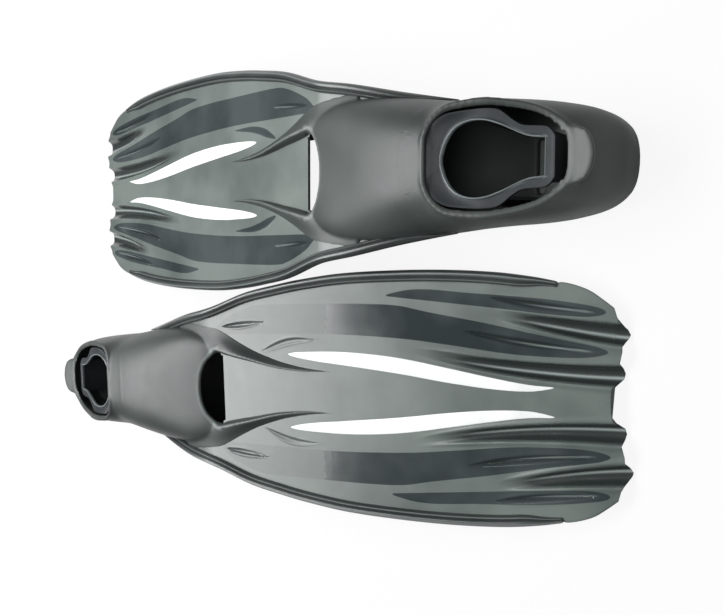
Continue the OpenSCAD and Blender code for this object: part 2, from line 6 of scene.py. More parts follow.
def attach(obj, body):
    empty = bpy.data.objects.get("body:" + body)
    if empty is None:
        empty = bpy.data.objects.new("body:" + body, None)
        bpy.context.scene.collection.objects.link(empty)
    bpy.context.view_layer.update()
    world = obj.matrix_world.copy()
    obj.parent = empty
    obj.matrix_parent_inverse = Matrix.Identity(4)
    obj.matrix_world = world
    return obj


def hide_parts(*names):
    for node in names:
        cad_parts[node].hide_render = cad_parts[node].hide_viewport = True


# a pair of full-foot swim fins on a white floor; every fin is worked out in its own frame in mm,
# x from the heel to the tip with 0 under the toe slot, then turned and moved to its place
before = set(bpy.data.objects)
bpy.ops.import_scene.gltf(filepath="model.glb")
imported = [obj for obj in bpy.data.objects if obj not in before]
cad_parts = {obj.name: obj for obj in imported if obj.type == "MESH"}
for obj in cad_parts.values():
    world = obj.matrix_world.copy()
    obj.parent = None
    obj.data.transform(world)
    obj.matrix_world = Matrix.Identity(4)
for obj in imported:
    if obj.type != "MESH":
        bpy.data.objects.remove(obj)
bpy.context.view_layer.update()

# where each fin's own origin lies above the floor, in mm, and the turn of its x axis in degrees
finPlaces = {
    "left": {"at": (-96.442, 68.438), "turn": -90.4},
    "right": {"at": (86.529, -68.562), "turn": 86.9},
}


def clampUnit(t):  # t held between 0 and 1
    return np.clip(t, 0.0, 1.0)


def ramp(x, start, end):  # 0 at start and 1 at end, straight between them and flat outside
    return clampUnit((x - start) / (end - start))


def easeInOut(t):  # 3t^2 - 2t^3 between 0 and 1, flat outside
    c = clampUnit(t)
    return c * c * (3 - 2 * c)


def signedPower(v, e):  # |v|^e with the sign of v
    return np.sign(v) * np.abs(v) ** e


def smoothCurve(table, x):  # Catmull-Rom curve through rows of [x, value]
    xs, ys = np.array(table, float).T
    x = np.asarray(x, float)
    i = np.clip(np.searchsorted(xs, x, side="right") - 1, 0, len(xs) - 2)
    b, n = np.maximum(i - 1, 0), np.minimum(i + 2, len(xs) - 1)
    span = xs[i + 1] - xs[i]
    t = clampUnit((x - xs[i]) / span)
    ma = (ys[i + 1] - ys[b]) / (xs[i + 1] - xs[b]) * span
    mb = (ys[n] - ys[i]) / (xs[n] - xs[i]) * span
    return ((2 * t**3 - 3 * t**2 + 1) * ys[i] + (t**3 - 2 * t**2 + t) * ma
            + (3 * t**2 - 2 * t**3) * ys[i + 1] + (t**3 - t**2) * mb)


def gridMesh(name, rings, looped=False):
    # rings: array [rows, points round, 3]; each ring runs anticlockwise as seen from the last row's side.
    # the first and last ring are capped, or joined to each other where looped
    m, n = rings.shape[:2]
    row = np.arange(m if looped else m - 1)[:, None]
    a = (row * n + np.arange(n)).ravel()
    b = (row * n + (np.arange(n) + 1) % n).ravel()
    faces = np.stack([a, b, (b + n) % (m * n), (a + n) % (m * n)], 1).tolist()
    if not looped:
        faces += [list(range(n - 1, -1, -1)), [(m - 1) * n + j for j in range(n)]]
    mesh = bpy.data.meshes.new(name)
    mesh.from_pydata(rings.reshape(-1, 3).tolist(), [], faces)
    mesh.update()
    return mesh


def newObject(name, data):  # an object in the scene, at the origin and unturned
    obj = bpy.data.objects.new(name, data)
    bpy.context.scene.collection.objects.link(obj)
    return obj


def prismMesh(name, outline, low, high, plane="xy"):
    # a closed outline [k, 2] carried from low to high, along z for plane xy and along y for plane xz
    p = np.asarray(outline, float)
    area = np.sum(p[:, 0] * np.roll(p[:, 1], -1) - np.roll(p[:, 0], -1) * p[:, 1])
    if area < 0:
        p = p[::-1]
    k = len(p)
    if plane == "xy":
        rings = [np.column_stack([p, np.full(k, z)]) for z in (low, high)]
    else:
        rings = [np.column_stack([p[:, 0], np.full(k, y), p[:, 1]]) for y in (high, low)]
    return gridMesh(name, np.array(rings))


def tubeMesh(name, path, radius, sides=12):
    # a round section carried along a path: centre plus radius times cos and sin on two crosswise directions
    p = np.asarray(path, float)
    tangent = np.gradient(p, axis=0)
    tangent /= np.linalg.norm(tangent, axis=1)[:, None]
    side = np.cross(tangent, [0, 0, 1.0])
    side /= np.linalg.norm(side, axis=1)[:, None] + 1e-9
    top = np.cross(side, tangent)
    a = np.linspace(0, 2 * np.pi, sides, endpoint=False)[None, :, None]
    r = np.broadcast_to(radius, len(p))[:, None, None]
    rings = p[:, None] + r * (np.cos(a) * side[:, None] + np.sin(a) * top[:, None])
    return gridMesh(name, rings[:, ::-1])


def roundedPlan(halfLong, halfAcross, radius, steps=8):
    # rectangle about the origin whose corners are quarter circles
    a = np.linspace(0, np.pi / 2, steps)
    corner = np.stack([np.cos(a), np.sin(a)], 1) * radius
    out = []
    for sx, sy, c, s in ((1, 1, 1, 0), (-1, 1, 0, 1), (-1, -1, -1, 0), (1, -1, 0, -1)):
        turned = np.stack([corner[:, 0] * c - corner[:, 1] * s, corner[:, 0] * s + corner[:, 1] * c], 1)
        out.append(turned + [sx * (halfLong - radius), sy * (halfAcross - radius)])
    return np.concatenate(out)


def vertexArray(mesh):  # the mesh's points, [count, 3]
    co = np.empty(len(mesh.vertices) * 3)
    mesh.vertices.foreach_get("co", co)
    return co.reshape(-1, 3)


def setMask(mesh, name, value):  # a number on every vertex, which the material reads by this name
    attribute = mesh.attributes.new(name, "FLOAT", "POINT")
    attribute.data.foreach_set("value", np.asarray(value, np.float32))


def bakeModifiers(obj):  # what the modifiers give becomes the object's own mesh
    dg = bpy.context.evaluated_depsgraph_get()
    dg.update()
    mesh = bpy.data.meshes.new_from_object(obj.evaluated_get(dg))
    obj.modifiers.clear()
    old = obj.data
    obj.data = mesh
    bpy.data.meshes.remove(old)


def combine(base, steps):
    # steps: [("UNION" or "DIFFERENCE", mesh), ...], done one after another
    for operation, mesh in steps:
        tool = newObject("tool", mesh)
        mod = base.modifiers.new("step", "BOOLEAN")
        mod.operation, mod.solver, mod.object = operation, "MANIFOLD", tool
        bakeModifiers(base)
        bpy.data.objects.remove(tool)
        bpy.data.meshes.remove(mesh)


def smoothShade(obj, degrees):  # smooth faces, with a sharp edge where two meet at more than this angle
    obj.data.polygons.foreach_set("use_smooth", np.ones(len(obj.data.polygons), bool))
    obj.data.set_sharp_from_angle(angle=np.radians(degrees))


def dress(body, addMasks, material, degrees):
    # the masks, the one material and the smooth faces of a body that is still in its fin's frame
    addMasks(body.data)
    body.data.materials.clear()
    body.data.materials.append(material)
    smoothShade(body, degrees)


def placeFin(name, mesh, side):
    # a copy of a fin-frame mesh, turned about z and moved to its fin's place, mm to m
    copy = mesh.copy()
    copy.name = name
    a = np.radians(finPlaces[side]["turn"])
    turn = np.array([[np.cos(a), -np.sin(a), 0], [np.sin(a), np.cos(a), 0], [0, 0, 1]])
    co = vertexArray(copy) @ turn.T + np.array([*finPlaces[side]["at"], 0])
    copy.vertices.foreach_set("co", (co / 1000).ravel())
    copy.update()
    return newObject(name, copy)


def addPiece(name, mesh, side, body, node):
    # a mesh at its fin's place, riding on a body and standing for a node
    piece = placeFin(name, mesh, side)
    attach(piece, body)
    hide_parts(node)
    return piece


def addStrips(label, maker, material):
    # one strip along each side of each fin; outer is the side at minus y in the fin's frame
    for side in finPlaces:
        for which, sign in (("outer", -1), ("inner", 1)):
            mesh = maker(sign)
            mesh.materials.append(material)
            name = side + which.capitalize() + label.capitalize()
            piece = addPiece(name, mesh, side, "fins", side + "_" + which + "_" + label)
            smoothShade(piece, 50)
    print(label + "s made")


def setInputs(tree, node, inputs):
    # each input is given a plain value, or the socket that feeds it
    for key, value in inputs.items():
        if isinstance(value, bpy.types.NodeSocket):
            tree.links.new(value, node.inputs[key])
        else:
            node.inputs[key].default_value = value
    return node


def addNode(tree, kind, inputs):  # a shader node of this kind with its inputs set
    return setInputs(tree, tree.nodes.new("ShaderNode" + kind), inputs)


def addMath(tree, operation, *inputs):  # MULTIPLY is a times b, MULTIPLY_ADD is a times b plus c
    node = tree.nodes.new("ShaderNodeMath")
    node.operation = operation
    return setInputs(tree, node, dict(enumerate(inputs))).outputs[0]


def addRange(tree, value, start, end=1, atStart=0, atEnd=1):  # a ramp from start to end, as a node
    node = addNode(tree, "MapRange", {"Value": value, "From Min": start, "From Max": end,
                                      "To Min": atStart, "To Max": atEnd})
    return node.outputs["Result"]


def mixTones(tree, factor, a, b):  # a where the factor is 0 and b where it is 1
    node = tree.nodes.new("ShaderNodeMix")
    node.data_type = "RGBA"
    return setInputs(tree, node, {"Factor": factor, "A": a, "B": b}).outputs["Result"]


def addNoise(tree, scale, detail, distortion=0):  # a noise on the piece's own Object coordinates
    place = addNode(tree, "TexCoord", {}).outputs["Object"]
    node = addNode(tree, "TexNoise", {"Vector": place, "Scale": scale, "Detail": detail,
                                      "Distortion": distortion})
    return node.outputs["Fac"]


def readMask(tree, name):  # the socket that gives the number setMask put on the piece
    node = tree.nodes.new("ShaderNodeAttribute")
    node.attribute_name = name
    return node.outputs["Fac"]


def toneWhere(tree, colour, mask, tone):  # a tone laid over a colour where the piece's own mask is 1
    return mixTones(tree, readMask(tree, mask), colour, (*tone, 1))


def mouldedFinishGroup():
    # slow patches give the mask, fine grain the height, and patches with faint scuffs the roughness:
    # roughness + spread (scuff / 2 + mask / 2 - 1/2)
    group = bpy.data.node_groups.new("mouldedFinish", "ShaderNodeTree")
    defaults = {"Patch Size": 14, "Grain Size": 900, "Roughness": 0.4, "Roughness Spread": 0.12}
    for name, value in defaults.items():
        socket = group.interface.new_socket(name, in_out="INPUT", socket_type="NodeSocketFloat")
        socket.default_value = value
    for name in ("Mask", "Rough", "Height"):
        group.interface.new_socket(name, in_out="OUTPUT", socket_type="NodeSocketFloat")
    given = group.nodes.new("NodeGroupInput").outputs
    mask = addRange(group, addNoise(group, given["Patch Size"], 3), 0.36, 0.64)
    half = addMath(group, "MULTIPLY_ADD", mask, 0.5, -0.5)
    both = addMath(group, "MULTIPLY_ADD", addNoise(group, 60, 5, 1.2), 0.5, half)
    rough = addMath(group, "MULTIPLY_ADD", both, given["Roughness Spread"], given["Roughness"])
    setInputs(group, group.nodes.new("NodeGroupOutput"),
              {"Mask": mask, "Rough": rough, "Height": addNoise(group, given["Grain Size"], 2)})
    return group


finishGroup = mouldedFinishGroup()
grainDepth = 0.0003


def mouldedMaterial(name, look, tones=()):
    # the look's dark and light tones mixed by the finish's mask, then its further tones, each laid on
    # where the piece's own mask is 1; tones: [(mask, tone), ...]
    mat = bpy.data.materials.new(name)
    mat.use_nodes = True
    tree = mat.node_tree
    finish = tree.nodes.new("ShaderNodeGroup")
    finish.name, finish.node_tree = "finish", finishGroup
    setInputs(tree, finish, {"Patch Size": look["patch"], "Grain Size": look["grain"],
                             "Roughness": look["rough"], "Roughness Spread": look["spread"]})
    colour = mixTones(tree, finish.outputs["Mask"], (*look["dark"], 1), (*look["light"], 1))
    for mask, tone in tones:
        colour = toneWhere(tree, colour, mask, look[tone])
    bump = addNode(tree, "Bump", {"Strength": look["bump"], "Distance": grainDepth,
                                  "Height": finish.outputs["Height"]})
    bump.name = "grainBump"
    setInputs(tree, tree.nodes["Principled BSDF"],
              {"Base Color": colour, "Roughness": finish.outputs["Rough"],
               "Normal": bump.outputs["Normal"], "Specular IOR Level": look["specular"]})
    return mat


# deep is painted shade in the toes' room, worn is painted light on the heel's floor and lip is a painted
# highlight along the lips and crests
rubberLook = {"dark": (0.030, 0.037, 0.036), "light": (0.052, 0.062, 0.059), "rough": 0.46, "spread": 0.17,
              "patch": 11, "grain": 1400, "bump": 0.12, "specular": 0.5,
              "deep": (0.004, 0.005, 0.006), "worn": (0.17, 0.20, 0.19), "lip": (0.13, 0.15, 0.145),
              "arcBump": 0.35, "arcDepth": 0.0005}
# crest is a painted highlight along the rail's crest lines
railLook = {"dark": (0.022, 0.027, 0.027), "light": (0.040, 0.047, 0.046), "rough": 0.33, "spread": 0.10,
            "patch": 16, "grain": 1400, "bump": 0.10, "specular": 0.6, "crest": (0.20, 0.23, 0.225)}
# recess is painted shade in the channels, the leaves and on the tray under the instep, the tray's pale tone
# is painted light on its heel end and ridge is a painted highlight line in the channels and leaves
bladeLook = {"dark": (0.072, 0.089, 0.083), "light": (0.118, 0.141, 0.130), "rough": 0.36, "spread": 0.14,
             "patch": 13, "grain": 1100, "bump": 0.10, "specular": 0.55,
             "recess": (0.014, 0.018, 0.018), "recessRough": -0.10, "trayPaintedLightTone": (0.30, 0.35, 0.33),
             "ridge": (0.26, 0.30, 0.29),
             "bandDark": (0.022, 0.029, 0.031), "bandLight": (0.054, 0.065, 0.066), "bandRough": -0.22,
             "bandEdge": 0.25, "tearSize": 70, "tearReach": 24, "tearEnds": (11.4, 12.6), "wornBand": 0.42,
             "polishFrom": 0.45}
# edge is a painted highlight along the keyhole's lip
formerLook = {"dark": (0.016, 0.020, 0.022), "light": (0.028, 0.033, 0.036), "rough": 0.38, "spread": 0.12,
              "patch": 20, "grain": 1600, "bump": 0.06, "specular": 0.5, "edge": (0.26, 0.30, 0.30)}
inlayLook = {"dark": (0.68, 0.71, 0.70), "light": (0.77, 0.79, 0.78), "rough": 0.35, "spread": 0.08,
             "patch": 30, "grain": 1500, "bump": 0.03, "specular": 0.4}


def pocketMaterial():
    # satin rubber with a thin raised arc on the instep; arcLine is 1 on the line and 0 away from it.
    # toeShade paints shade into the toes' room, the heel floor's mask paints light on the heel's floor and
    # the edge mask paints highlights along lips and crests
    mat = mouldedMaterial("pocketRubber", rubberLook,
                          [("toeShade", "deep"), ("heelFloorPaintedLight", "worn"), ("edgePaintedHighlight", "lip")])
    tree = mat.node_tree
    arc = addNode(tree, "Bump", {"Strength": rubberLook["arcBump"], "Distance": rubberLook["arcDepth"],
                                 "Height": readMask(tree, "arcLine"),
                                 "Normal": tree.nodes["grainBump"].outputs["Normal"]})
    setInputs(tree, tree.nodes["Principled BSDF"], {"Normal": arc.outputs["Normal"]})
    return mat


def bladeMaterial():
    # the blade's satin face with glossier bands; bandDistance, in mm, is above zero inside a band
    look = bladeLook
    mat = mouldedMaterial("bladePlastic", look)
    tree = mat.node_tree
    bsdf, finish = tree.nodes["Principled BSDF"], tree.nodes["finish"]
    inBand = addRange(tree, readMask(tree, "bandDistance"), -look["bandEdge"], look["bandEdge"])
    # the worn stretch: wornReach plus a noise, so that its end is ragged, leaves a share of the band
    torn = addMath(tree, "MULTIPLY_ADD", addNoise(tree, look["tearSize"], 5), look["tearReach"],
                   readMask(tree, "wornReach"))
    kept = addRange(tree, torn, *look["tearEnds"], 1, look["wornBand"])
    band = addMath(tree, "MULTIPLY", inBand, kept)
    bandTone = mixTones(tree, finish.outputs["Mask"], (*look["bandDark"], 1), (*look["bandLight"], 1))
    colour = mixTones(tree, band, bsdf.inputs["Base Color"].links[0].from_socket, bandTone)
    # painted shade in the recesses, a painted highlight line in the channels and leaves, and painted light on
    # the tray's heel end
    for mask, tone in (("recess", "recess"), ("channelPaintedHighlight", "ridge"), ("trayPaintedLight", "trayPaintedLightTone")):
        colour = toneWhere(tree, colour, mask, look[tone])
    sunk = addMath(tree, "MULTIPLY_ADD", readMask(tree, "recess"), look["recessRough"],
                   finish.outputs["Rough"])
    polished = addRange(tree, band, look["polishFrom"])  # the worn stretch has none of the gloss
    rough = addMath(tree, "MULTIPLY_ADD", polished, look["bandRough"], sunk)
    setInputs(tree, bsdf, {"Base Color": colour, "Roughness": rough})
    return mat


pocketRubber = pocketMaterial()
bladePlastic = bladeMaterial()
# painted highlight along the rails' crests
railRubber = mouldedMaterial("railRubber", railLook, [("crestPaintedHighlight", "crest")])
# painted highlight along the keyhole's lip
formerPlastic = mouldedMaterial("formerPlastic", formerLook, [("keyholePaintedHighlight", "edge")])
inlayPlastic = mouldedMaterial("inlayPlastic", inlayLook)
print("materials made")

blade = {"length": 358, "width": 205, "thick": 3.0, "tipThick": 2.0, "slope": 9.3, "scallop": 9,
         "armEnd": -74, "armLong": 70, "armDrop": 21, "channelDeep": 7, "channelLip": 1.0, "leafLip": 0.4,
         "stretchFrom": 0.9, "edgeRound": 0.5, "edgeShare": 0.02, "rows": 290, "columns": 240,
         "underColumns": 36}
armGap = {"back": -75, "backHalf": 33.5, "frontHalf": 30}
tray = {"from": 52, "to": -15, "sideCover": 1.5, "soleCover": 2.1, "thick": 1.6, "arc": (-196, 16)}
halfWide = blade["width"] / 2
slope = np.radians(blade["slope"])
tipFar = blade["scallop"] + 5
tipDeep = blade["channelDeep"] + blade["tipThick"]
toeHeight = (blade["length"] + tipFar) * np.sin(slope) + tipDeep * np.cos(slope)
# the groove and the bead of a rail's top: height, place across it and width, in half sizes of the rail
railSize = {"wide": 9.5, "high": 12, "front": 322, "back": 112, "taper": 34, "step": 3, "covers": 0.45,
            "squareness": 0.85, "groove": (-0.34, -0.30, 0.17), "bead": (0.10, 0.42, 0.2)}
# half widths as shares of the blade's, along u as a share of its length; tipShare is the last of them
edgeCurve = [[-0.34, 0.47], [-0.21, 0.565], [-0.095, 0.66], [0, 0.725], [0.112, 0.85], [0.21, 0.915],
             [0.28, 0.952], [0.39, 0.99], [0.53, 1], [0.656, 0.99], [0.77, 0.96], [0.85, 0.918], [0.9, 0.88],
             [0.93, 0.857], [0.964, 0.81], [0.992, 0.74], [1.012, 0.683]]
tipShare = 1.012


def onBlade(u, v, w):  # a point u along the sloping face, v to the side and w above it
    u, v, w = np.broadcast_arrays(u, v, w)
    return np.stack([u * np.cos(slope) + w * np.sin(slope), v + 0.0 * u,
                     toeHeight - u * np.sin(slope) + w * np.cos(slope)], -1)


def edgeV(u):  # half width out to the rails' outer faces, from the edge curve
    return halfWide * smoothCurve(edgeCurve, np.asarray(u) / blade["length"])


def plateV(u):  # half width of the plate, which ends inside the rails as far as these go
    covered = 1 - easeInOut((u - railSize["front"] + 8) / 12)
    return edgeV(u) - railSize["wide"] * railSize["covers"] * covered


def sideDrop(u):  # how far the arms bend down behind the toes, as (-u)^1.5
    return -blade["armDrop"] * (np.maximum(-np.asarray(u, float), 0) / blade["armLong"]) ** 1.5


# how far the tip reaches past the length, at each distance from the middle
tipOutline = [[0, 0.5], [7, 0.8], [12.5, 2.4], [15.5, 6.5], [18.5, 9.3], [22, 10], [26, 9], [31, 7.2],
              [34, 8.2], [38, 9.2], [41, 9.2], [44.5, 10.5], [48, 13.6], [51, 14], [54.5, 12], [60.4, 7.4],
              [66, 5.4], [71, 4]]
# start and end are shares of the length; the middle closes in from atTip + spread to atTip, both shares
# of halfWide, over the reach, a share of the length
channels = [{"start": 0.565, "end": 1.027, "half": 7.9,
             "atTip": 0.205, "spread": 0.147, "reach": 0.44, "power": 2},
            {"start": 0.755, "end": 1.041, "half": 8.3,
             "atTip": 0.492, "spread": 0.145, "reach": 0.26, "power": 1.3}]
# start and end as shares of the length, side there and bow as shares of halfWide, half width and depth in
# mm; the first three carry a painted highlight line
leaves = [[0.69, 0.985, 0.52, 0.378, -0.02, 3.0, 2.4], [0.752, 0.985, 0.773, 0.657, -0.01, 3.0, 2.4],
          [0.035, 0.17, 0.549, 0.592, 0, 2.2, 2.0], [0.155, 0.32, 0.330, 0.432, 0.045, 2.2, 0.8]]


def channelMiddle(c, u):  # half width times atTip + spread (distance from the end / reach)^power
    left = np.maximum(0, c["end"] * blade["length"] - u) / blade["length"]
    return halfWide * (c["atTip"] + c["spread"] * (left / c["reach"]) ** c["power"])


def channelPlace(c, u, v):
    # how far along a channel, 0 to 1, and the distance from its middle in half widths, which widen
    on = clampUnit((u / blade["length"] - c["start"]) / (c["end"] - c["start"]))
    return on, (v - channelMiddle(c, u)) / (c["half"] * (0.22 + 0.78 * on ** 0.55))


def leafMiddle(leaf, u):
    # how far along a leaf, 0 to 1, and its middle: a straight line plus a bow of half a sine
    start, end, v0, v1, bow = leaf[:5]
    t = clampUnit((u / blade["length"] - start) / (end - start))
    return t, halfWide * (v0 + (v1 - v0) * t + bow * np.sin(np.pi * t))


def bell(d, middle, width):  # 1 at the middle, falling as exp(-((d - middle) / width)^2)
    return np.exp(-((d - middle) / width) ** 2)


def faceHeight(u, v):
    # height of the face above its plane: each channel is a rounded U, deep (1 - |d|^2.4)^0.9, between two
    # bell-shaped lips, and each leaf a cosine trough that is deepest in its middle, beside one lip
    s = u / blade["length"]
    w = np.zeros_like(u)
    for c in channels:
        on, d = channelPlace(c, u, v)
        deep = blade["channelDeep"] * easeInOut(on * 1.45)
        w -= deep * (1 - clampUnit(np.abs(d)) ** 2.4) ** 0.9
        w += blade["channelLip"] * easeInOut(on * 3) * (bell(d, 1.22, 0.3) + bell(d, -1.22, 0.3))
    for leaf in leaves:
        start, end, half, deep = leaf[0], leaf[1], leaf[5], leaf[6]
        t, middle = leafMiddle(leaf, u)
        d = np.abs(v - middle) / (half * np.sin(np.pi * t ** 0.8) ** 0.85 + 1e-6)
        inside = (s > start) & (s < end)
        full = np.sin(np.pi * t ** 0.8) ** 0.6
        trough = deep * full * np.cos(np.pi / 2 * clampUnit(d / 1.15)) ** 1.4
        w -= np.where(inside & (d < 1.15), trough, 0)
        w += np.where(inside, blade["leafLip"] * full * bell(d, 1.45, 0.4), 0)
    return w


def channelLine(u, v):
    # 1 along a thin painted highlight line beside the bottom of each channel, fading out towards its start,
    # and fainter along the middle of the three deeper leaves
    line = np.zeros_like(u)
    for c in channels:
        on, d = channelPlace(c, u, v)
        line = np.maximum(line, bell(d, -0.28, 0.13) * easeInOut((on - 0.12) / 0.4))
    for leaf in leaves[:3]:
        t, middle = leafMiddle(leaf, u)
        fade = easeInOut((t - 0.2) / 0.5) * easeInOut((0.97 - t) / 0.1)
        line = np.maximum(line, 0.8 * bell(v - middle, -0.7, 0.55) * fade)
    return line


# the three glossy bands on one half of the blade, [u, v] in mm round each; the other half mirrors them
bandOne = [(4, 52), (12, 49.8), (62, 50), (124, 50.2), (190, 47), (234, 42.2), (275, 36.8), (300, 34.6),
           (330, 33.6), (348, 34.6), (358, 37.8), (352, 41.5), (340, 44.2), (310, 50), (278, 56.8),
           (259, 60.7), (217, 68.5), (191, 73.8), (160, 75.6), (125, 76), (60, 76), (40, 73), (18, 64),
           (8, 57)]
bandTwo = [(180.5, 82.3), (192, 80.2), (217.7, 77.3), (250, 73.6), (275.6, 70.7), (310, 66.5), (338, 64),
           (352, 64.6), (357, 67), (352, 70.4), (335, 74), (310, 77.6), (280, 80.6), (252, 83), (230, 85.4),
           (214, 86.6), (198, 86)]
bandThree = [(56, 33), (63, 39), (72, 43.5), (84, 46.2), (97, 47), (118, 45.8), (96, 42.6), (80, 39),
             (68, 35)]


def roundedLoop(points, steps):
    # closed Catmull-Rom curve through the points
    t = np.linspace(0, 1, steps, endpoint=False)[None, :, None]
    a, b, c, d = (np.roll(np.array(points, float), k, axis=0)[:, None] for k in (1, 0, -1, -2))
    square, cube = 2 * a - 5 * b + 4 * c - d, 3 * b - a - 3 * c + d
    out = 0.5 * (2 * b + (c - a) * t + square * t ** 2 + cube * t ** 3)
    return out.reshape(-1, 2)


def insideDistance(q, loop):
    # signed distance in mm from points q to a closed loop: the least of those to its sides, above zero
    # where a line to one side crosses the loop an odd number of times
    best = np.full(len(q), 1e9)
    inside = np.zeros(len(q), bool)
    for a, b in zip(loop, np.roll(loop, -1, axis=0)):
        ab = b - a
        t = clampUnit(((q - a) @ ab) / (ab @ ab + 1e-12))
        best = np.minimum(best, np.linalg.norm(q - a - t[:, None] * ab, axis=1))
        crossed = (a[1] > q[:, 1]) != (b[1] > q[:, 1])
        with np.errstate(divide="ignore", invalid="ignore"):
            at = (b[0] - a[0]) * (q[:, 1] - a[1]) / (b[1] - a[1]) + a[0]
        inside ^= crossed & (q[:, 0] < at)
    return np.where(inside, best, -best)


def bladeRow(u, share):
    # rows along u and columns at a share of the plate's half width; near the end the rows stretch to the
    # scalloped tip, as the 1.5th power of how far on they are
    reach = smoothCurve(tipOutline, np.abs(share) * plateV(np.array(blade["length"] * tipShare)))
    start = blade["stretchFrom"] * blade["length"]
    k = clampUnit((u - start) / (blade["length"] - start))
    u = u + reach * k ** 1.5
    v = share * plateV(np.minimum(u, tipShare * blade["length"]))
    return u, v, faceHeight(u, np.abs(v)) + sideDrop(u)


def bladePlateMesh():
    # fine face, rounded down at its edges, and a coarser underside that is the face less the thickness
    rows = np.linspace(blade["armEnd"], blade["length"], blade["rows"])[:, None]
    share = np.linspace(-1, 1, blade["columns"])
    u, v, w = bladeRow(rows + 0 * share, share + 0 * rows)
    edge = blade["edgeRound"] * (1 - np.sqrt(clampUnit((1 - np.abs(share)) / blade["edgeShare"])))
    top = onBlade(u, v, w - edge)
    share = np.linspace(1, -1, blade["underColumns"])
    u, v, w = bladeRow(rows + 0 * share, share + 0 * rows)
    thick = blade["thick"] + (blade["tipThick"] - blade["thick"]) * clampUnit(u / blade["length"])
    under = onBlade(u, v, w - thick)
    return gridMesh("bladePlate", np.concatenate([top, under], axis=1)[:, ::-1])


pocket = {"length": 245, "ball": 112, "heel": 81, "instep": 98.5, "instepBack": 118, "heelRim": 72,
          "rearIn": 24, "toeLift": 33, "toeOpen": 33.5, "wall": 4.6, "sole": 9, "solePower": 0.5,
          "rimBead": 2.3, "toeBead": 1.4, "tabWide": 38, "tabOut": 16, "tabThick": 3.8, "tabTilt": 5,
          "voxel": 1.05, "triangles": 150000}
horn = {"high": 10, "long": 136, "wide": 8.2, "lean": 4.2, "leanEnd": 118, "back": 40, "bead": 1.15,
        "beadBelow": 0.7, "web": 9, "webEnd": 52}
toeSlot = {"front": 12.4, "back": 11, "corner": 6, "below": 22, "side": 3.5}
drain = {"at": 76, "halfLong": 3, "halfAcross": 20, "corner": 1.5, "high": 39}
heelX, instepX = -pocket["length"], -pocket["instepBack"]
rearX = heelX + pocket["rearIn"]
# each curve runs from 0 at the heel to 1 at the toes; widths are shares of the heel's or the ball's,
# bottoms of the toe lift, tops of the heel rim or the instep, and the widest height of the instep
widthCurve = [[0, 0.12], [0.012, 0.4], [0.035, 0.62], [0.085, 0.83], [0.17, 0.975], [0.26, 1.05], [0.38, 1.1],
              [0.5, 1.17]]
frontCurve = [[0.38, 0.795], [0.52, 0.865], [0.63, 0.935], [0.75, 1], [0.83, 1], [0.89, 0.97], [0.95, 0.9],
              [1, 0.82], [1.06, 0.75], [1.12, 0.66]]
bottomCurve = [[0, 0.5], [0.012, 0.3], [0.035, 0.12], [0.085, 0.005], [0.17, -0.02], [0.26, 0.0], [0.4, 0.14],
               [0.6, 0.42], [0.8, 0.72], [0.95, 0.93], [1, 1.02], [1.04, 1.2], [1.08, 1.5], [1.12, 1.78]]
topCurve = [[0, 0.3], [0.012, 0.43], [0.035, 0.58], [0.07, 0.84], [0.1, 1], [0.15, 1.13], [0.216, 1.36],
            [0.28, 1.58], [0.34, 1.78], [0.416, 1.64], [0.48, 1.52], [0.56, 1.46]]
archCurve = [[0.38, 1.03], [0.48, 1.01], [0.52, 1], [0.63, 0.985], [0.75, 0.94], [0.87, 0.865], [0.95, 0.81],
             [1, 0.77], [1.06, 0.7], [1.12, 0.625]]
midCurve = [[0, 0.223], [0.1, 0.274], [0.3, 0.305], [0.5, 0.365], [0.75, 0.477], [0.9, 0.548], [1, 0.579],
            [1.12, 0.612]]
rimRise = [[0, 0], [0.1, 0.05], [0.23, 0.17], [0.4, 0.36], [0.55, 0.54], [0.75, 0.68], [0.9, 0.8],
           [0.96, 0.89], [1, 1]]


def mixed(s, back, front):  # the heel's curve behind the arch, eased over to the front's
    return back + (front - back) * easeInOut((s - 0.44) / 0.08)


def topPower(x):  # the arch is squarer over the toes
    return 0.74 - 0.24 * easeInOut((np.asarray(x, float) / pocket["length"] + 0.28) / 0.26)


def pocketShape(x):
    # half width, bottom, top and widest height of the pocket's section at x
    s = 1 + np.asarray(x, float) / pocket["length"]
    half = mixed(s, pocket["heel"] / 2 * smoothCurve(widthCurve, np.minimum(s, 0.5)),
                 pocket["ball"] / 2 * smoothCurve(frontCurve, np.maximum(s, 0.38)))
    bottom = pocket["toeLift"] * smoothCurve(bottomCurve, s)
    top = mixed(s, pocket["heelRim"] * smoothCurve(topCurve, np.minimum(s, 0.56)),
                pocket["instep"] * smoothCurve(archCurve, np.maximum(s, 0.38)))
    middle = np.minimum(pocket["instep"] * smoothCurve(midCurve, s), top - 0.35 * (top - bottom))
    return half, bottom, top, middle


def pocketPoint(x, a, sideIn, topIn, soleIn):
    # superellipse section, squarer at the sole than at the arch: half width times cos^e and, from the
    # widest height, the rise or the fall times sin^e, each drawn in by its own inset
    half, bottom, top, middle = pocketShape(x)
    up = np.sin(a) > 0
    rise = np.maximum(0.8, np.where(up, top - topIn - middle, middle - bottom - soleIn))
    e = np.where(up, topPower(x), pocket["solePower"])
    y = np.maximum(1.5, half - sideIn) * signedPower(np.cos(a), e)
    return y, middle + rise * signedPower(np.sin(a), e)


def pocketLoft(name, x, at, sideIn, topIn, soleIn, sides=120):
    # the section of each place in at, set up at x
    a = np.linspace(0, 2 * np.pi, sides, endpoint=False)
    a = a - 0.18 * np.sin(4 * a)  # more points where the section turns fastest
    at2, a2 = np.meshgrid(at, a, indexing="ij")
    y, z = pocketPoint(at2, a2, sideIn, topIn, soleIn)
    return gridMesh(name, np.stack([np.broadcast_to(np.asarray(x)[:, None], y.shape), y, z], -1))


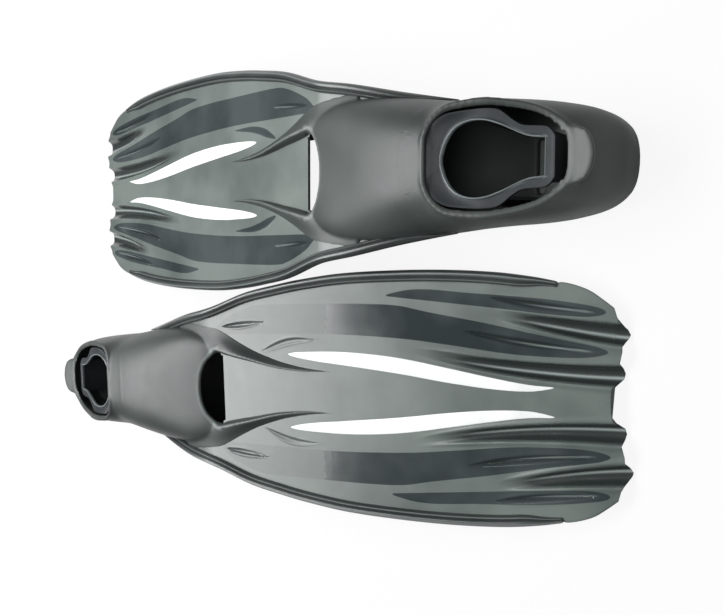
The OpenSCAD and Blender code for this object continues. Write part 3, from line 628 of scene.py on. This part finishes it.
def footRoom(inset):
    # the foot's room: the outside drawn in by the wall less the inset, and moved forwards at the heel
    wall = pocket["wall"] - inset
    s = np.concatenate([[0.003, 0.008, 0.015, 0.025], np.linspace(0.04, 1.05, 70)])
    at = heelX + s * pocket["length"]
    x = at + (pocket["wall"] + 1 - inset) * (1 - easeInOut(s / 0.16))
    return pocketLoft("footRoom", x, at, wall, wall * 0.8, pocket["sole"] - inset)


def widthAt(x, z):  # half width of the arch at height z: the superellipse solved for y
    half, bottom, top, middle = pocketShape(x)
    r = clampUnit((z - middle) / (top - middle))
    return half * np.cos(np.arcsin(r ** (1 / topPower(x)))) ** topPower(x)


def heightAt(x, y):  # height of the arch at y: the superellipse solved for z
    half, bottom, top, middle = pocketShape(x)
    r = clampUnit(np.abs(y) / half)
    return middle + (top - middle) * np.sin(np.arccos(r ** (1 / topPower(x)))) ** topPower(x)


def rimHeight(x):  # from the heel's rim up to the instep's, by the rise curve
    t = (np.asarray(x, float) - rearX) / (instepX - rearX)
    low, rise = pocket["heelRim"] - 0.5, pocket["instep"] + 0.5 - pocket["heelRim"]
    return low + rise * smoothCurve(rimRise, t)


def hornIn(u):  # foot of a horn's inner face: the toe opening's half width times a curve along the horn
    share = smoothCurve([[-0.3, 0.99], [0, 0.985], [0.037, 0.975], [0.09, 0.93], [0.147, 0.875],
                         [0.22, 0.815], [0.33, 0.735], [0.44, 0.645], [0.55, 0.573], [0.68, 0.531],
                         [0.82, 0.513], [1, 0.52]], np.asarray(u) / horn["long"])
    return pocket["toeOpen"] * share


def hornLean(u):  # how far the crest stands outside that foot: most beside the toes, none at leanEnd
    u = np.asarray(u, float)
    full = horn["lean"] * easeInOut(1.08 * (1 - u / horn["leanEnd"]))
    return full * (0.55 + 0.45 * easeInOut(u / 26 + 0.3))


def hornCrest(u):  # height times (1 - u / long)^0.9, and lower where the horn leaves the pocket
    u = np.asarray(u, float)
    on = clampUnit(1 - u / horn["long"])
    return horn["high"] * on ** 0.9 * (0.35 + 0.65 * easeInOut((u + 12) / 50)) + 0.15


def hornMesh(side):
    # ridge from the pocket on to the blade. Across it, k from 0 to 1: a steep face that leans out by
    # hornLean up to the crest, a round top, then a long hollow slope down to an outer line that closes in
    # as (1 - u / long)^1.1; a web widens the slope where the horn leaves the pocket
    u = np.linspace(-horn["back"], 0.99 * horn["long"], 100)
    inner, lean, drop = hornIn(u), hornLean(u), sideDrop(u)
    on = clampUnit(1 - np.maximum(u, 0) / horn["long"])
    outer = inner + lean + 1.5 * horn["wide"] * on ** 1.1 + np.maximum(-u, 0) * 0.12 + 0.5
    outer += horn["web"] * easeInOut((horn["webEnd"] - u) / 60)
    high = hornCrest(u) * (0.2 + 0.8 * easeInOut((u + 30) / 30))
    k = np.linspace(0, 1, 28)[None, :]
    face, fall = clampUnit(k / 0.25), clampUnit((k - 0.25) / 0.75)
    v = inner[:, None] + lean[:, None] * face + (outer - inner - lean)[:, None] * fall
    rise = np.where(k < 0.25, np.sin(np.pi / 2 * face) ** 0.8, np.cos(np.pi / 2 * fall ** 0.9) ** 1.7)
    w = high[:, None] * rise + drop[:, None] * fall
    v = np.concatenate([v, np.stack([outer, inner], 1)], 1)
    w = np.concatenate([w, (drop - 2.4)[:, None] * np.ones((1, 2))], 1)
    rings = onBlade(u[:, None], side * v, w)
    return gridMesh("horn", rings[:, ::-1] if side > 0 else rings)


def hornLine(u, side, below):  # the horn's crest line, some way below its top
    return onBlade(u, side * (hornIn(u) + hornLean(u)), hornCrest(u) - below)


def toeRimLine(count):
    # the lip of the toe opening from one corner round the middle to the other: [x, y], and its height
    a = np.linspace(-1, 1, count)
    y = pocket["toeOpen"] * 0.985 * np.sin(a * np.pi / 2)
    x = smoothCurve([[0, -9], [0.25, -8.4], [0.45, -6.8], [0.68, -3.4], [0.85, 1.2], [0.95, 6.5],
                     [0.985, 12]], np.abs(y) / pocket["toeOpen"])
    return x, y, heightAt(x, y) - 1.6


def toeLip(count):
    # the bead's middle line: along the lip, and up and out to the horns' crests at its two ends
    x, y, z = toeRimLine(count)
    on = easeInOut((np.abs(y) / pocket["toeOpen"] - 0.82) / 0.16)
    crest = onBlade(x, y, hornCrest(x))[:, 2] - horn["beadBelow"]
    return np.stack([x - 0.9, y * 1.02 + np.sign(y) * hornLean(x) * on, z + 0.2 + (crest - z) * on], 1)


def toePlanLoop():  # seen from above, what is open: the lip, then along the horns' inner feet and back
    x, y = toeRimLine(61)[:2]
    u = np.linspace(0.1, 1.1, 40) * horn["long"]
    side = np.stack([u * np.cos(slope), hornIn(np.minimum(u, horn["long"]))], 1)
    return np.concatenate([np.stack([x, y], 1), side, side[::-1] * [1, -1]])


def footOpening():  # seen from the side, everything above the rim: [x, z] round
    x = rearX + np.linspace(0, 1, 60) * (instepX - rearX)
    return np.concatenate([[[heelX - 20, pocket["heelRim"] - 3]], np.stack([x, rimHeight(x)], 1),
                           [[instepX + 0.5, 300], [heelX - 20, 300]]])


def rimBeadMesh():
    # a bead round the foot opening: x runs from the instep to the heel and back as (1 - cos) / 2, and y
    # is the arch's half width at the rim's height
    k = np.linspace(-1, 1, 81)
    t = (1 - np.cos(np.pi * np.abs(k))) / 2
    x = instepX - 1 - t * (instepX - 1 - rearX - 0.4)
    y = np.sign(k) * (widthAt(x, rimHeight(x)) - 1) * (np.abs(k) < 1)
    z = np.minimum(rimHeight(x), pocketShape(x)[2]) - 0.8
    line = np.stack([x - 0.6 * (1 - 2 * t), y, z], 1)[:-1]
    return tubeMesh("rimBead", np.concatenate([line, line[:1]]), pocket["rimBead"], 16)


def tabMesh():
    # the pull tab: in plan x = -tabOut cos^0.8 and y = tabWide / 2 sin, tilted up over the heel's rim
    b = np.linspace(-np.pi / 2, np.pi / 2, 25)
    halfTab = pocket["tabWide"] / 2
    outer = np.stack([-pocket["tabOut"] * np.cos(b) ** 0.8 + 2.5, halfTab * np.sin(b)], 1)
    plan = np.concatenate([outer, [[6, halfTab - 2], [6, -halfTab + 2]]])
    tab = prismMesh("tab", plan, -pocket["tabThick"] / 2, pocket["tabThick"] / 2)
    tilt = Matrix.Rotation(np.radians(pocket["tabTilt"]), 4, "Y")
    tab.transform(Matrix.Translation((rearX, 0, pocket["heelRim"] - 1.0)) @ tilt)
    return tab


def pocketMesh():
    # the outside, opened for the foot, with its beads, tab and horns, less the foot's room, the toe
    # opening and the two slots, and cut off level with the floor
    s = np.concatenate([[0, 0.003, 0.008, 0.016, 0.028], np.linspace(0.045, 1.12, 90)])
    x = heelX + s * pocket["length"]
    body = newObject("pocketBody", pocketLoft("pocketOutside", x, x, 0, 0, 0))
    u = np.linspace(6, 0.97 * horn["long"], 60)
    thick = horn["bead"] * clampUnit(1.12 - u / horn["long"]) ** 0.5 + 0.05
    front, back = toeSlot["front"], toeSlot["back"]
    slotPlan = roundedPlan((front + back) / 2, pocket["toeOpen"] - toeSlot["side"], toeSlot["corner"])
    slotPlan += [(front - back) / 2, 0]
    drainPlan = roundedPlan(drain["halfLong"], drain["halfAcross"], drain["corner"])
    floorPlan = [[-300, -100], [200, -100], [200, 100], [-300, 100]]
    combine(body, [
        ("DIFFERENCE", prismMesh("openingCut", footOpening(), -200, 200, "xz")),
        ("UNION", hornMesh(1)), ("UNION", hornMesh(-1)), ("UNION", tabMesh()),
        ("UNION", tubeMesh("toeBead", toeLip(61), pocket["toeBead"])), ("UNION", rimBeadMesh()),
        ("UNION", tubeMesh("hornBead", hornLine(u, 1, horn["beadBelow"]), thick)),
        ("UNION", tubeMesh("hornBead", hornLine(u, -1, horn["beadBelow"]), thick)),
        ("DIFFERENCE", footRoom(0)),
        ("DIFFERENCE", prismMesh("toeCut", toePlanLoop(), toeHeight - 30, 300)),
        ("DIFFERENCE", prismMesh("slot", slotPlan, -50, toeHeight - toeSlot["below"])),
        ("DIFFERENCE", prismMesh("drain", drainPlan + [heelX + drain["at"], 0], -1, drain["high"])),
        ("DIFFERENCE", prismMesh("floorCut", floorPlan, -50, 0)),
    ])
    # moulded rubber: one skin with soft fillets where the forms meet
    skin = body.modifiers.new("skin", "REMESH")
    skin.mode, skin.voxel_size = "VOXEL", pocket["voxel"]
    soften = body.modifiers.new("soften", "SMOOTH")
    soften.factor, soften.iterations = 0.5, 12
    bakeModifiers(body)
    thin = body.modifiers.new("thin", "DECIMATE")
    thin.ratio = min(1, pocket["triangles"] / (2 * len(body.data.polygons)))
    bakeModifiers(body)
    return body


def trayMesh():
    # stiff gutter inside the sole: an arc of the pocket's section, inside its cover, with its thickness
    x, a = np.meshgrid(np.linspace(heelX + tray["from"], tray["to"], 40),
                       np.radians(np.linspace(*tray["arc"], 60)), indexing="ij")
    side, sole, thick = tray["sideCover"], tray["soleCover"], tray["thick"]
    outer = np.stack([x, *pocketPoint(x, a, side, side, sole)], -1)
    inner = np.stack([x, *pocketPoint(x, a, side + thick, side + thick, sole + thick)], -1)
    return gridMesh("tray", np.concatenate([outer, inner[:, ::-1]], axis=1))


def bladeMesh():  # the plate, cut out between its arms and round the foot's room, with the tray
    body = newObject("bladeBody", bladePlateMesh())
    front, back = toeSlot["front"], armGap["back"]
    gap = [[back, -armGap["backHalf"]], [front, -armGap["frontHalf"]], [front, armGap["frontHalf"]],
           [back, armGap["backHalf"]]]
    combine(body, [("DIFFERENCE", prismMesh("armGap", gap, -200, 200)), ("DIFFERENCE", footRoom(1.2)),
                   ("UNION", trayMesh())])
    return body


arc = {"ahead": 17, "bend": 13, "span": 40, "power": 2.4, "wide": 2.2}  # the faint arc on the instep


def addPocketMasks(mesh):
    # the arc lies ahead of the instep rim in the middle and bends back round it as bend (y / span)^power;
    # inside is 1 on the foot room's walls, by the section's own superellipse radius; the lips and crests
    # get a painted highlight near their lines, by the distance to the nearest point of each
    co = vertexArray(mesh)
    x, y, z = co[:, 0], np.abs(co[:, 1]), co[:, 2]
    arcX = instepX + arc["ahead"] - arc["bend"] * (y / arc["span"]) ** arc["power"]
    lean = arc["bend"] * arc["power"] / arc["span"] * (y / arc["span"]) ** (arc["power"] - 1)
    d = np.abs(x - arcX) / np.sqrt(1 + lean ** 2)
    setMask(mesh, "arcLine", bell(d, 0, arc["wide"]) * (z > 60) * ramp(y, arc["span"] + 2, arc["span"] - 4))
    half, bottom, top, middle = pocketShape(x)
    power = np.where(z > middle, topPower(x), pocket["solePower"])
    rise = np.where(z > middle, top - middle, middle - bottom)
    radius = ((y / half) ** (2 / power) + np.abs((z - middle) / rise) ** (2 / power)) ** (power / 2)
    inside = ramp(radius, 0.975, 0.955) * (x < 11)
    # painted shade in the toes' room, under the instep
    setMask(mesh, "toeShade", inside * ramp(x, -130, -90) * ramp(x, 1, -1.5))
    # painted light on the heel's floor, where light falls in through the foot opening
    setMask(mesh, "heelFloorPaintedLight", 0.8 * inside * (z < 36) * ramp(x, -158, -188) * ramp(x, -236, -226))
    # painted highlights along the toe lip and the horns' crests
    u = np.linspace(3, 0.9 * horn["long"], 90)
    edge = np.zeros(len(co))
    for strength, reach, line in ((0.85, 1.5, toeLip(91) + [-0.3, 0, 0.9]), (0.5, 1.0, hornLine(u, 1, 0)),
                                  (0.5, 1.0, hornLine(u, -1, 0))):
        near = (x > line[:, 0].min() - 6) & (z > 20)
        gap = np.min(np.linalg.norm(co[near][:, None] - line[None], axis=2), axis=1)
        edge[near] = np.maximum(edge[near], strength * clampUnit(1.9 - gap / reach))
    setMask(mesh, "edgePaintedHighlight", edge)


# where the worn stretch of the bands ends, and how much further it goes on the inner side
wornStretch = {"to": 118, "further": 6, "none": -90}


def addBladeMasks(mesh):
    # the bands by their signed distance, the painted shade of the recesses by their depth below the face, the
    # painted highlight lines by channelLine, and the tray's painted shade and painted light by how far back
    # they lie
    co = vertexArray(mesh)
    x, z = co[:, 0], co[:, 2] - toeHeight
    u, v = x * np.cos(slope) - z * np.sin(slope), np.abs(co[:, 1])
    w = x * np.sin(slope) + z * np.cos(slope) - sideDrop(u)
    flat = np.stack([u, v], 1)
    inBand = [insideDistance(flat, roundedLoop(band, 5)) for band in (bandOne, bandTwo, bandThree)]
    setMask(mesh, "bandDistance", np.max(inBand, axis=0))
    face = faceHeight(u, v)
    onFace = w > face - 0.9
    onTray = (x < -76) | ((w < -9) & (u < 6))
    # painted shade: on the tray under the instep, fading out towards the heel, and in the channels and leaves
    # by how deep the face sinks
    trayShade = 0.96 * ramp(x, -7, -12) * ramp(x, -160, -120)
    setMask(mesh, "recess", np.where(onTray, trayShade, 0.9 * ramp(face, -0.25, -2.25) * onFace))
    # a painted highlight line along the channels and leaves
    setMask(mesh, "channelPaintedHighlight", channelLine(u, v) * onFace)
    # painted light on the tray's heel end, where light falls in through the foot opening
    setMask(mesh, "trayPaintedLight", onTray * ramp(x, -128, -173))
    setMask(mesh, "wornReach", wornStretch["to"] - u + wornStretch["further"] * (co[:, 1] > 0))


pocketBody, bladeBody = pocketMesh(), bladeMesh()
dress(pocketBody, addPocketMasks, pocketRubber, 60)
dress(bladeBody, addBladeMasks, bladePlastic, 40)
for side in finPlaces:
    addPiece(side + "Pocket", pocketBody.data, side, "fins", side + "_foot_pocket")
for side in finPlaces:
    piece = addPiece(side + "Blade", bladeBody.data, side, "fins", side + "_blade")
    if side == "right":  # only the left fin's bands are worn
        reach = piece.data.attributes["wornReach"].data
        reach.foreach_set("value", np.full(len(reach), wornStretch["none"], np.float32))
print("pockets and blades made", len(pocketBody.data.polygons), len(bladeBody.data.polygons))
for body in (pocketBody, bladeBody):
    bpy.data.objects.remove(body)


def railMesh(side):
    # a rounded bar with two crest lines, carried along the fin's edge: middle plus half its width and
    # height times cos and sin to the squareness. It tapers on to the pocket's side at the back and ends
    # in a small step near the tip
    front, back, taper, step = railSize["front"], railSize["back"], railSize["taper"], railSize["step"]
    u = np.concatenate([np.linspace(-back, 0, 50), np.linspace(3, front - step, 130),
                        front - step * (1 - np.sin(np.linspace(0.2, np.pi / 2, 6)))])
    size = (0.12 + 0.88 * easeInOut((u + back) / taper)) * (1 - 0.5 * easeInOut((u - front + taper) / taper))
    k = size.copy()
    k[-6:] *= np.cos(np.linspace(0, 0.9, 6)) ** 0.7
    a = np.linspace(0, 2 * np.pi, 56, endpoint=False)
    power, over = railSize["squareness"], np.sin(a) > 0
    across, up = signedPower(np.cos(a), power), signedPower(np.sin(a), power)
    for height, place, wide in (railSize["groove"], railSize["bead"]):
        up = up + height * bell(across, place, wide) * over
    middle = edgeV(u) - railSize["wide"] / 2 * size
    v = middle[:, None] + railSize["wide"] / 2 * k[:, None] * across
    w = (sideDrop(u) - blade["thick"] / 2 + 0.6)[:, None] + railSize["high"] / 2 * k[:, None] * up
    rings = onBlade(u[:, None], side * v, w)
    # a painted highlight along the bead's crest and a fainter second one across the top, fading in from the
    # back
    crest = bell(across, railSize["bead"][1], 0.12) + 0.6 * bell(across, -0.62, 0.10)
    crest = 0.75 * np.broadcast_to(crest * over, w.shape) * easeInOut((u + 70) / 60)[:, None]
    mesh = gridMesh("rail", rings if side > 0 else rings[:, ::-1])
    setMask(mesh, "crestPaintedHighlight", (crest if side > 0 else crest[:, ::-1]).ravel())
    return mesh


addStrips("rail", railMesh, railRubber)

inlay = {"wide": 13, "start": 84, "long": 234, "thick": 1.2}
inlayMiddle = [[0, 0.315], [0.1, 0.302], [0.25, 0.284], [0.45, 0.24], [0.65, 0.17], [0.8, 0.122],
               [0.92, 0.098], [1, 0.1075]]
# across the inlay, in its half widths, and how proud of the blade's face it stands there, in mm
inlaySection = [[-1, 0], [-0.97, 0.18], [-0.9, 0.27], [-0.6, 0.33], [0, 0.35], [0.6, 0.33], [0.9, 0.27],
                [0.97, 0.18], [1, 0]]


def inlayMesh(side):
    # a middle line plus and minus a half width of sin(pi s^0.85)^0.62, with a rounded shoulder and a
    # faintly crowned face over a flat back
    s = (1 - np.cos(np.linspace(0, np.pi, 70))) / 2
    middle = halfWide * smoothCurve(inlayMiddle, s)
    half = np.maximum(inlay["wide"] / 2 * np.sin(np.pi * s ** 0.85) ** 0.62, 0.02)
    across, lift = np.array(inlaySection, float).T
    u = (inlay["start"] + s * inlay["long"])[:, None]
    v = middle[:, None] + half[:, None] * across
    top = onBlade(u, side * v, np.broadcast_to(lift, v.shape))
    under = onBlade(u, side * v[:, ::-1], np.full_like(v, -inlay["thick"]))
    rings = np.concatenate([top[:, ::-1], under[:, ::-1]], axis=1)
    return gridMesh("inlay", rings if side > 0 else rings[:, ::-1])


addStrips("inlay", inlayMesh, inlayPlastic)

former = {"wide": 65, "keyhole": 25.8, "neck": 12.5, "thick": 2.4, "legFrom": 54, "legTo": 28, "gap": 0.8}
formerFront, formerRear = instepX - 1.8, heelX + 38
keyholeFront, keyholeRear = formerFront - 10.5, formerRear + 6.5
formerCurve = [[0, 0.42], [0.03, 0.54], [0.07, 0.62], [0.245, 0.67], [0.32, 0.79], [0.42, 0.92], [0.55, 1],
               [0.65, 1], [0.745, 0.93], [0.85, 0.79], [0.93, 0.58], [1, 0.22]]
# across the band from the keyhole's edge, 0, to the outline, 1, and how far the face is lifted there
formerSection = [[0, -0.5], [0.03, 0.5], [0.07, 0.75], [0.12, 0.5], [0.17, -0.15], [0.22, -0.35], [0.4, -0.3],
                 [0.6, -0.2], [0.8, 0.0], [0.9, 0.1], [0.97, -0.1], [1, -0.6]]


def formerHalf(t):  # half width of the outline, t from 0 at the heel to 1 at the instep
    return former["wide"] / 2 * smoothCurve(formerCurve, t)


def formerHeight(x, y):
    # the face follows the rim and arches up under the instep, as 1 - (y / 34)^2
    base = rimHeight(np.minimum(x, instepX - 8)) - 2.5
    rise = pocket["instep"] - 6 - rimHeight(instepX - 8)
    return base + rise * easeInOut((x - formerFront + 40) / 36) * (1 - (y / 34) ** 2)


def mirroredLoop(x, y):  # [x, y] out along one side and back along the other
    return np.concatenate([np.stack([x, y], 1), np.stack([x, -y], 1)[::-1]])


def formerLoops():
    # the keyhole and the outline, which widens towards the instep to fill the opening
    t = (1 - np.cos(np.linspace(0, np.pi, 60))) / 2
    outerX = formerRear + t * (formerFront - formerRear)
    outer = formerHalf(t)
    room = widthAt(outerX, rimHeight(outerX)) - pocket["wall"] - 1.3
    outer = outer + np.maximum(0, room - outer) * easeInOut((t - 0.31) / 0.14)
    k, n = former["keyhole"], former["neck"]
    inner = smoothCurve([[0, n], [0.147, n + 1.3], [0.26, n + 4.5], [0.41, k * 0.86], [0.57, k],
                         [0.73, k * 0.99], [0.87, k * 0.8], [0.96, k * 0.44], [1, k * 0.1]], t)
    innerX = keyholeRear + t * (keyholeFront - keyholeRear)
    return mirroredLoop(innerX, inner), mirroredLoop(outerX, outer)


def formerBandMesh():
    # a closed band: points between the two loops, keyhole (1 - f) + outline f, with a raised inner bead
    inner, outer = formerLoops()
    f, lift = np.array(formerSection, float).T
    xy = inner[:, None] * (1 - f)[None, :, None] + outer[:, None] * f[None, :, None]
    z = formerHeight(xy[..., 0], xy[..., 1])
    z = z + 4.2 * easeInOut((xy[..., 0] + 158) / 34) * f[None, :] ** 1.6
    top = np.concatenate([xy, (z + lift)[..., None]], -1)
    under = np.concatenate([xy, (z - former["thick"])[..., None]], -1)[:, ::-1]
    return gridMesh("formerBand", np.concatenate([top, under], axis=1)[:, ::-1], looped=True)


def formerLegMesh(side):
    # a plate from the band's underside down to the sole, which it meets by the sole's superellipse
    x = np.array([formerFront - former["legFrom"], formerFront - former["legTo"]])
    thick, floor = former["thick"], pocket["solePower"]
    y = formerHalf((x - formerRear) / (formerFront - formerRear)) - thick - 0.7
    half, bottom, top, middle = pocketShape(x)
    r = clampUnit(y / (half - pocket["wall"]))
    fall = np.sin(np.arccos(r ** (1 / floor))) ** floor
    low = middle - (middle - bottom - pocket["sole"]) * fall + former["gap"]
    high = formerHeight(x, y) - thick * 0.6
    corners = [(x[i], y[i] - lean + out, z[i]) for z, lean in ((low, 2), (high, 0))
               for i, out in ((0, 0), (1, 0), (1, thick), (0, thick))]
    if side < 0:  # mirrored, and taken the other way round so that the faces still point out
        corners = [(a, -b, c) for a, b, c in corners[3::-1] + corners[:3:-1]]
    faces = [(3, 2, 1, 0), (4, 5, 6, 7), (0, 1, 5, 4), (1, 2, 6, 5), (2, 3, 7, 6), (3, 0, 4, 7)]
    mesh = bpy.data.meshes.new("formerLeg")
    mesh.from_pydata(corners, [], faces)
    mesh.update()
    return mesh


def formerHeelMesh():
    # an upright plate across the heel, a rounded rectangle that widens a little towards its top
    x, across = formerRear + 2, former["wide"] / 2 * 0.46
    low = pocketShape(x)[1] + pocket["sole"] + former["gap"]
    high = formerHeight(np.array(x), np.array(across)) - former["thick"] / 2
    plan = roundedPlan((high - low) / 2 + 0.01, across, 4)
    mesh = prismMesh("formerHeel", plan, 0, former["thick"])
    co = vertexArray(mesh)
    wider = 1 + 0.12 * clampUnit(co[:, 0] / 20)
    turned = np.stack([x + co[:, 2], co[:, 1] * wider, (high + low) / 2 + co[:, 0]], 1)
    mesh.vertices.foreach_set("co", turned.ravel())
    mesh.flip_normals()
    mesh.update()
    return mesh


def addFormerMask(mesh):
    # the keyhole's lip, with a painted highlight: within a millimetre or so of the keyhole's loop on the face
    co = vertexArray(mesh)
    gap = np.min(np.linalg.norm(co[:, None, :2] - formerLoops()[0][None], axis=2), axis=1)
    onFace = co[:, 2] > formerHeight(co[:, 0], co[:, 1]) - 0.9
    setMask(mesh, "keyholePaintedHighlight", 0.8 * clampUnit(2.0 - gap / 0.8) * onFace)


formerBody = newObject("formerBody", formerBandMesh())
combine(formerBody, [("UNION", formerLegMesh(1)), ("UNION", formerLegMesh(-1)), ("UNION", formerHeelMesh())])
dress(formerBody, addFormerMask, formerPlastic, 35)
for side in finPlaces:
    addPiece(side + "Former", formerBody.data, side, side + "_former", side + "_pocket_former")
bpy.data.objects.remove(formerBody)
print("formers made")

studio = {"floor": (0.62, 0.62, 0.62), "floorRough": 0.7, "floorWhite": 0.90, "floorAt": -0.0002,
          "floorHalf": 6, "world": 0.14, "window": 54, "fill": 5}


def whiteFloorMaterial():
    # plain pale floor that the camera sees as white, still taking the fins' shadow
    mat = bpy.data.materials.new("whiteFloor")
    mat.use_nodes = True
    tree = mat.node_tree
    bsdf = setInputs(tree, tree.nodes["Principled BSDF"],
                     {"Base Color": (*studio["floor"], 1), "Roughness": studio["floorRough"]})
    glow = addNode(tree, "Emission", {"Strength": 1.0})
    seen = addNode(tree, "LightPath", {}).outputs["Is Camera Ray"]
    mix = addNode(tree, "MixShader", {0: addMath(tree, "MULTIPLY", seen, studio["floorWhite"]),
                                      1: bsdf.outputs[0], 2: glow.outputs[0]})
    setInputs(tree, tree.nodes["Material Output"], {"Surface": mix.outputs[0]})
    return mat


def softWorld():
    # faint even light, and a brighter plain backdrop where the camera looks past the floor
    world = bpy.data.worlds.new("softStudio")
    world.use_nodes = True
    tree = world.node_tree
    faint = setInputs(tree, tree.nodes["Background"], {"Color": (1, 1, 1, 1), "Strength": studio["world"]})
    bright = addNode(tree, "Background", {"Strength": 1})
    seen = addNode(tree, "LightPath", {}).outputs["Is Camera Ray"]
    choose = addNode(tree, "MixShader", {0: seen, 1: faint.outputs[0], 2: bright.outputs[0]})
    setInputs(tree, tree.nodes["World Output"], {"Surface": choose.outputs[0]})
    return world


def axesMatrix(x, y, z, at):  # the turn and place with these three axes and this origin
    return Matrix([*np.column_stack([x, y, z, at]).tolist(), [0, 0, 0, 1]])


def unit(v):  # v at length 1
    return v / np.linalg.norm(v)


def softLamp(name, at, aim, size, watts):
    # a rectangle of light that faces from at to aim, with its long side level
    data = bpy.data.lights.new(name, "AREA")
    data.shape, data.size, data.size_y, data.energy = "RECTANGLE", *size, watts
    z = unit(np.array(at, float) - np.array(aim, float))
    x = unit(np.cross([0, 0, 1], z))
    newObject(name, data).matrix_world = axesMatrix(x, np.cross(z, x), z, at)


half, low = studio["floorHalf"], studio["floorAt"]
floorMesh = bpy.data.meshes.new("floor")
floorMesh.from_pydata([(-half, -half, low), (half, -half, low), (half, half, low), (-half, half, low)], [],
                      [(0, 1, 2, 3)])
floorMesh.materials.append(whiteFloorMaterial())
newObject("floor", floorMesh)
scene = bpy.context.scene
scene.world = softWorld()
softLamp("windowLamp", (0.15, 0.87, 1.43), (0, 0, 0), (1.9, 0.85), studio["window"])
softLamp("fillLamp", (0.1, -0.85, 1.2), (0, -0.1, 0), (1.0, 0.8), studio["fill"])

# the photograph's camera: place in metres, its right and down, and the rest in the photograph's pixels
camera = {"at": (0.00186, -0.49805, 0.5791), "right": (-0.0403, -0.7950, -0.6053),
          "down": (-0.9985, 0.0093, 0.0543), "focal": 811.74, "principal": (362.04, 305.58),
          "frame": (725, 615), "sensor": 36}
cameraData = bpy.data.cameras.new("camera")
pixelsWide, pixelsHigh = camera["frame"]
cameraData.sensor_fit, cameraData.sensor_width = "HORIZONTAL", camera["sensor"]
cameraData.lens = camera["focal"] / pixelsWide * camera["sensor"]
cameraData.shift_x = (pixelsWide / 2 - camera["principal"][0]) / pixelsWide
cameraData.shift_y = (camera["principal"][1] - pixelsHigh / 2) / pixelsWide
cameraData.clip_start, cameraData.clip_end = 0.01, 50
right = unit(np.array(camera["right"]))
up = -np.array(camera["down"])
up = unit(up - right * (up @ right))
cameraObject = newObject("camera", cameraData)
cameraObject.matrix_world = axesMatrix(right, up, np.cross(right, up), camera["at"])
scene.camera = cameraObject
scene.view_settings.view_transform = "Standard"
print("studio made")
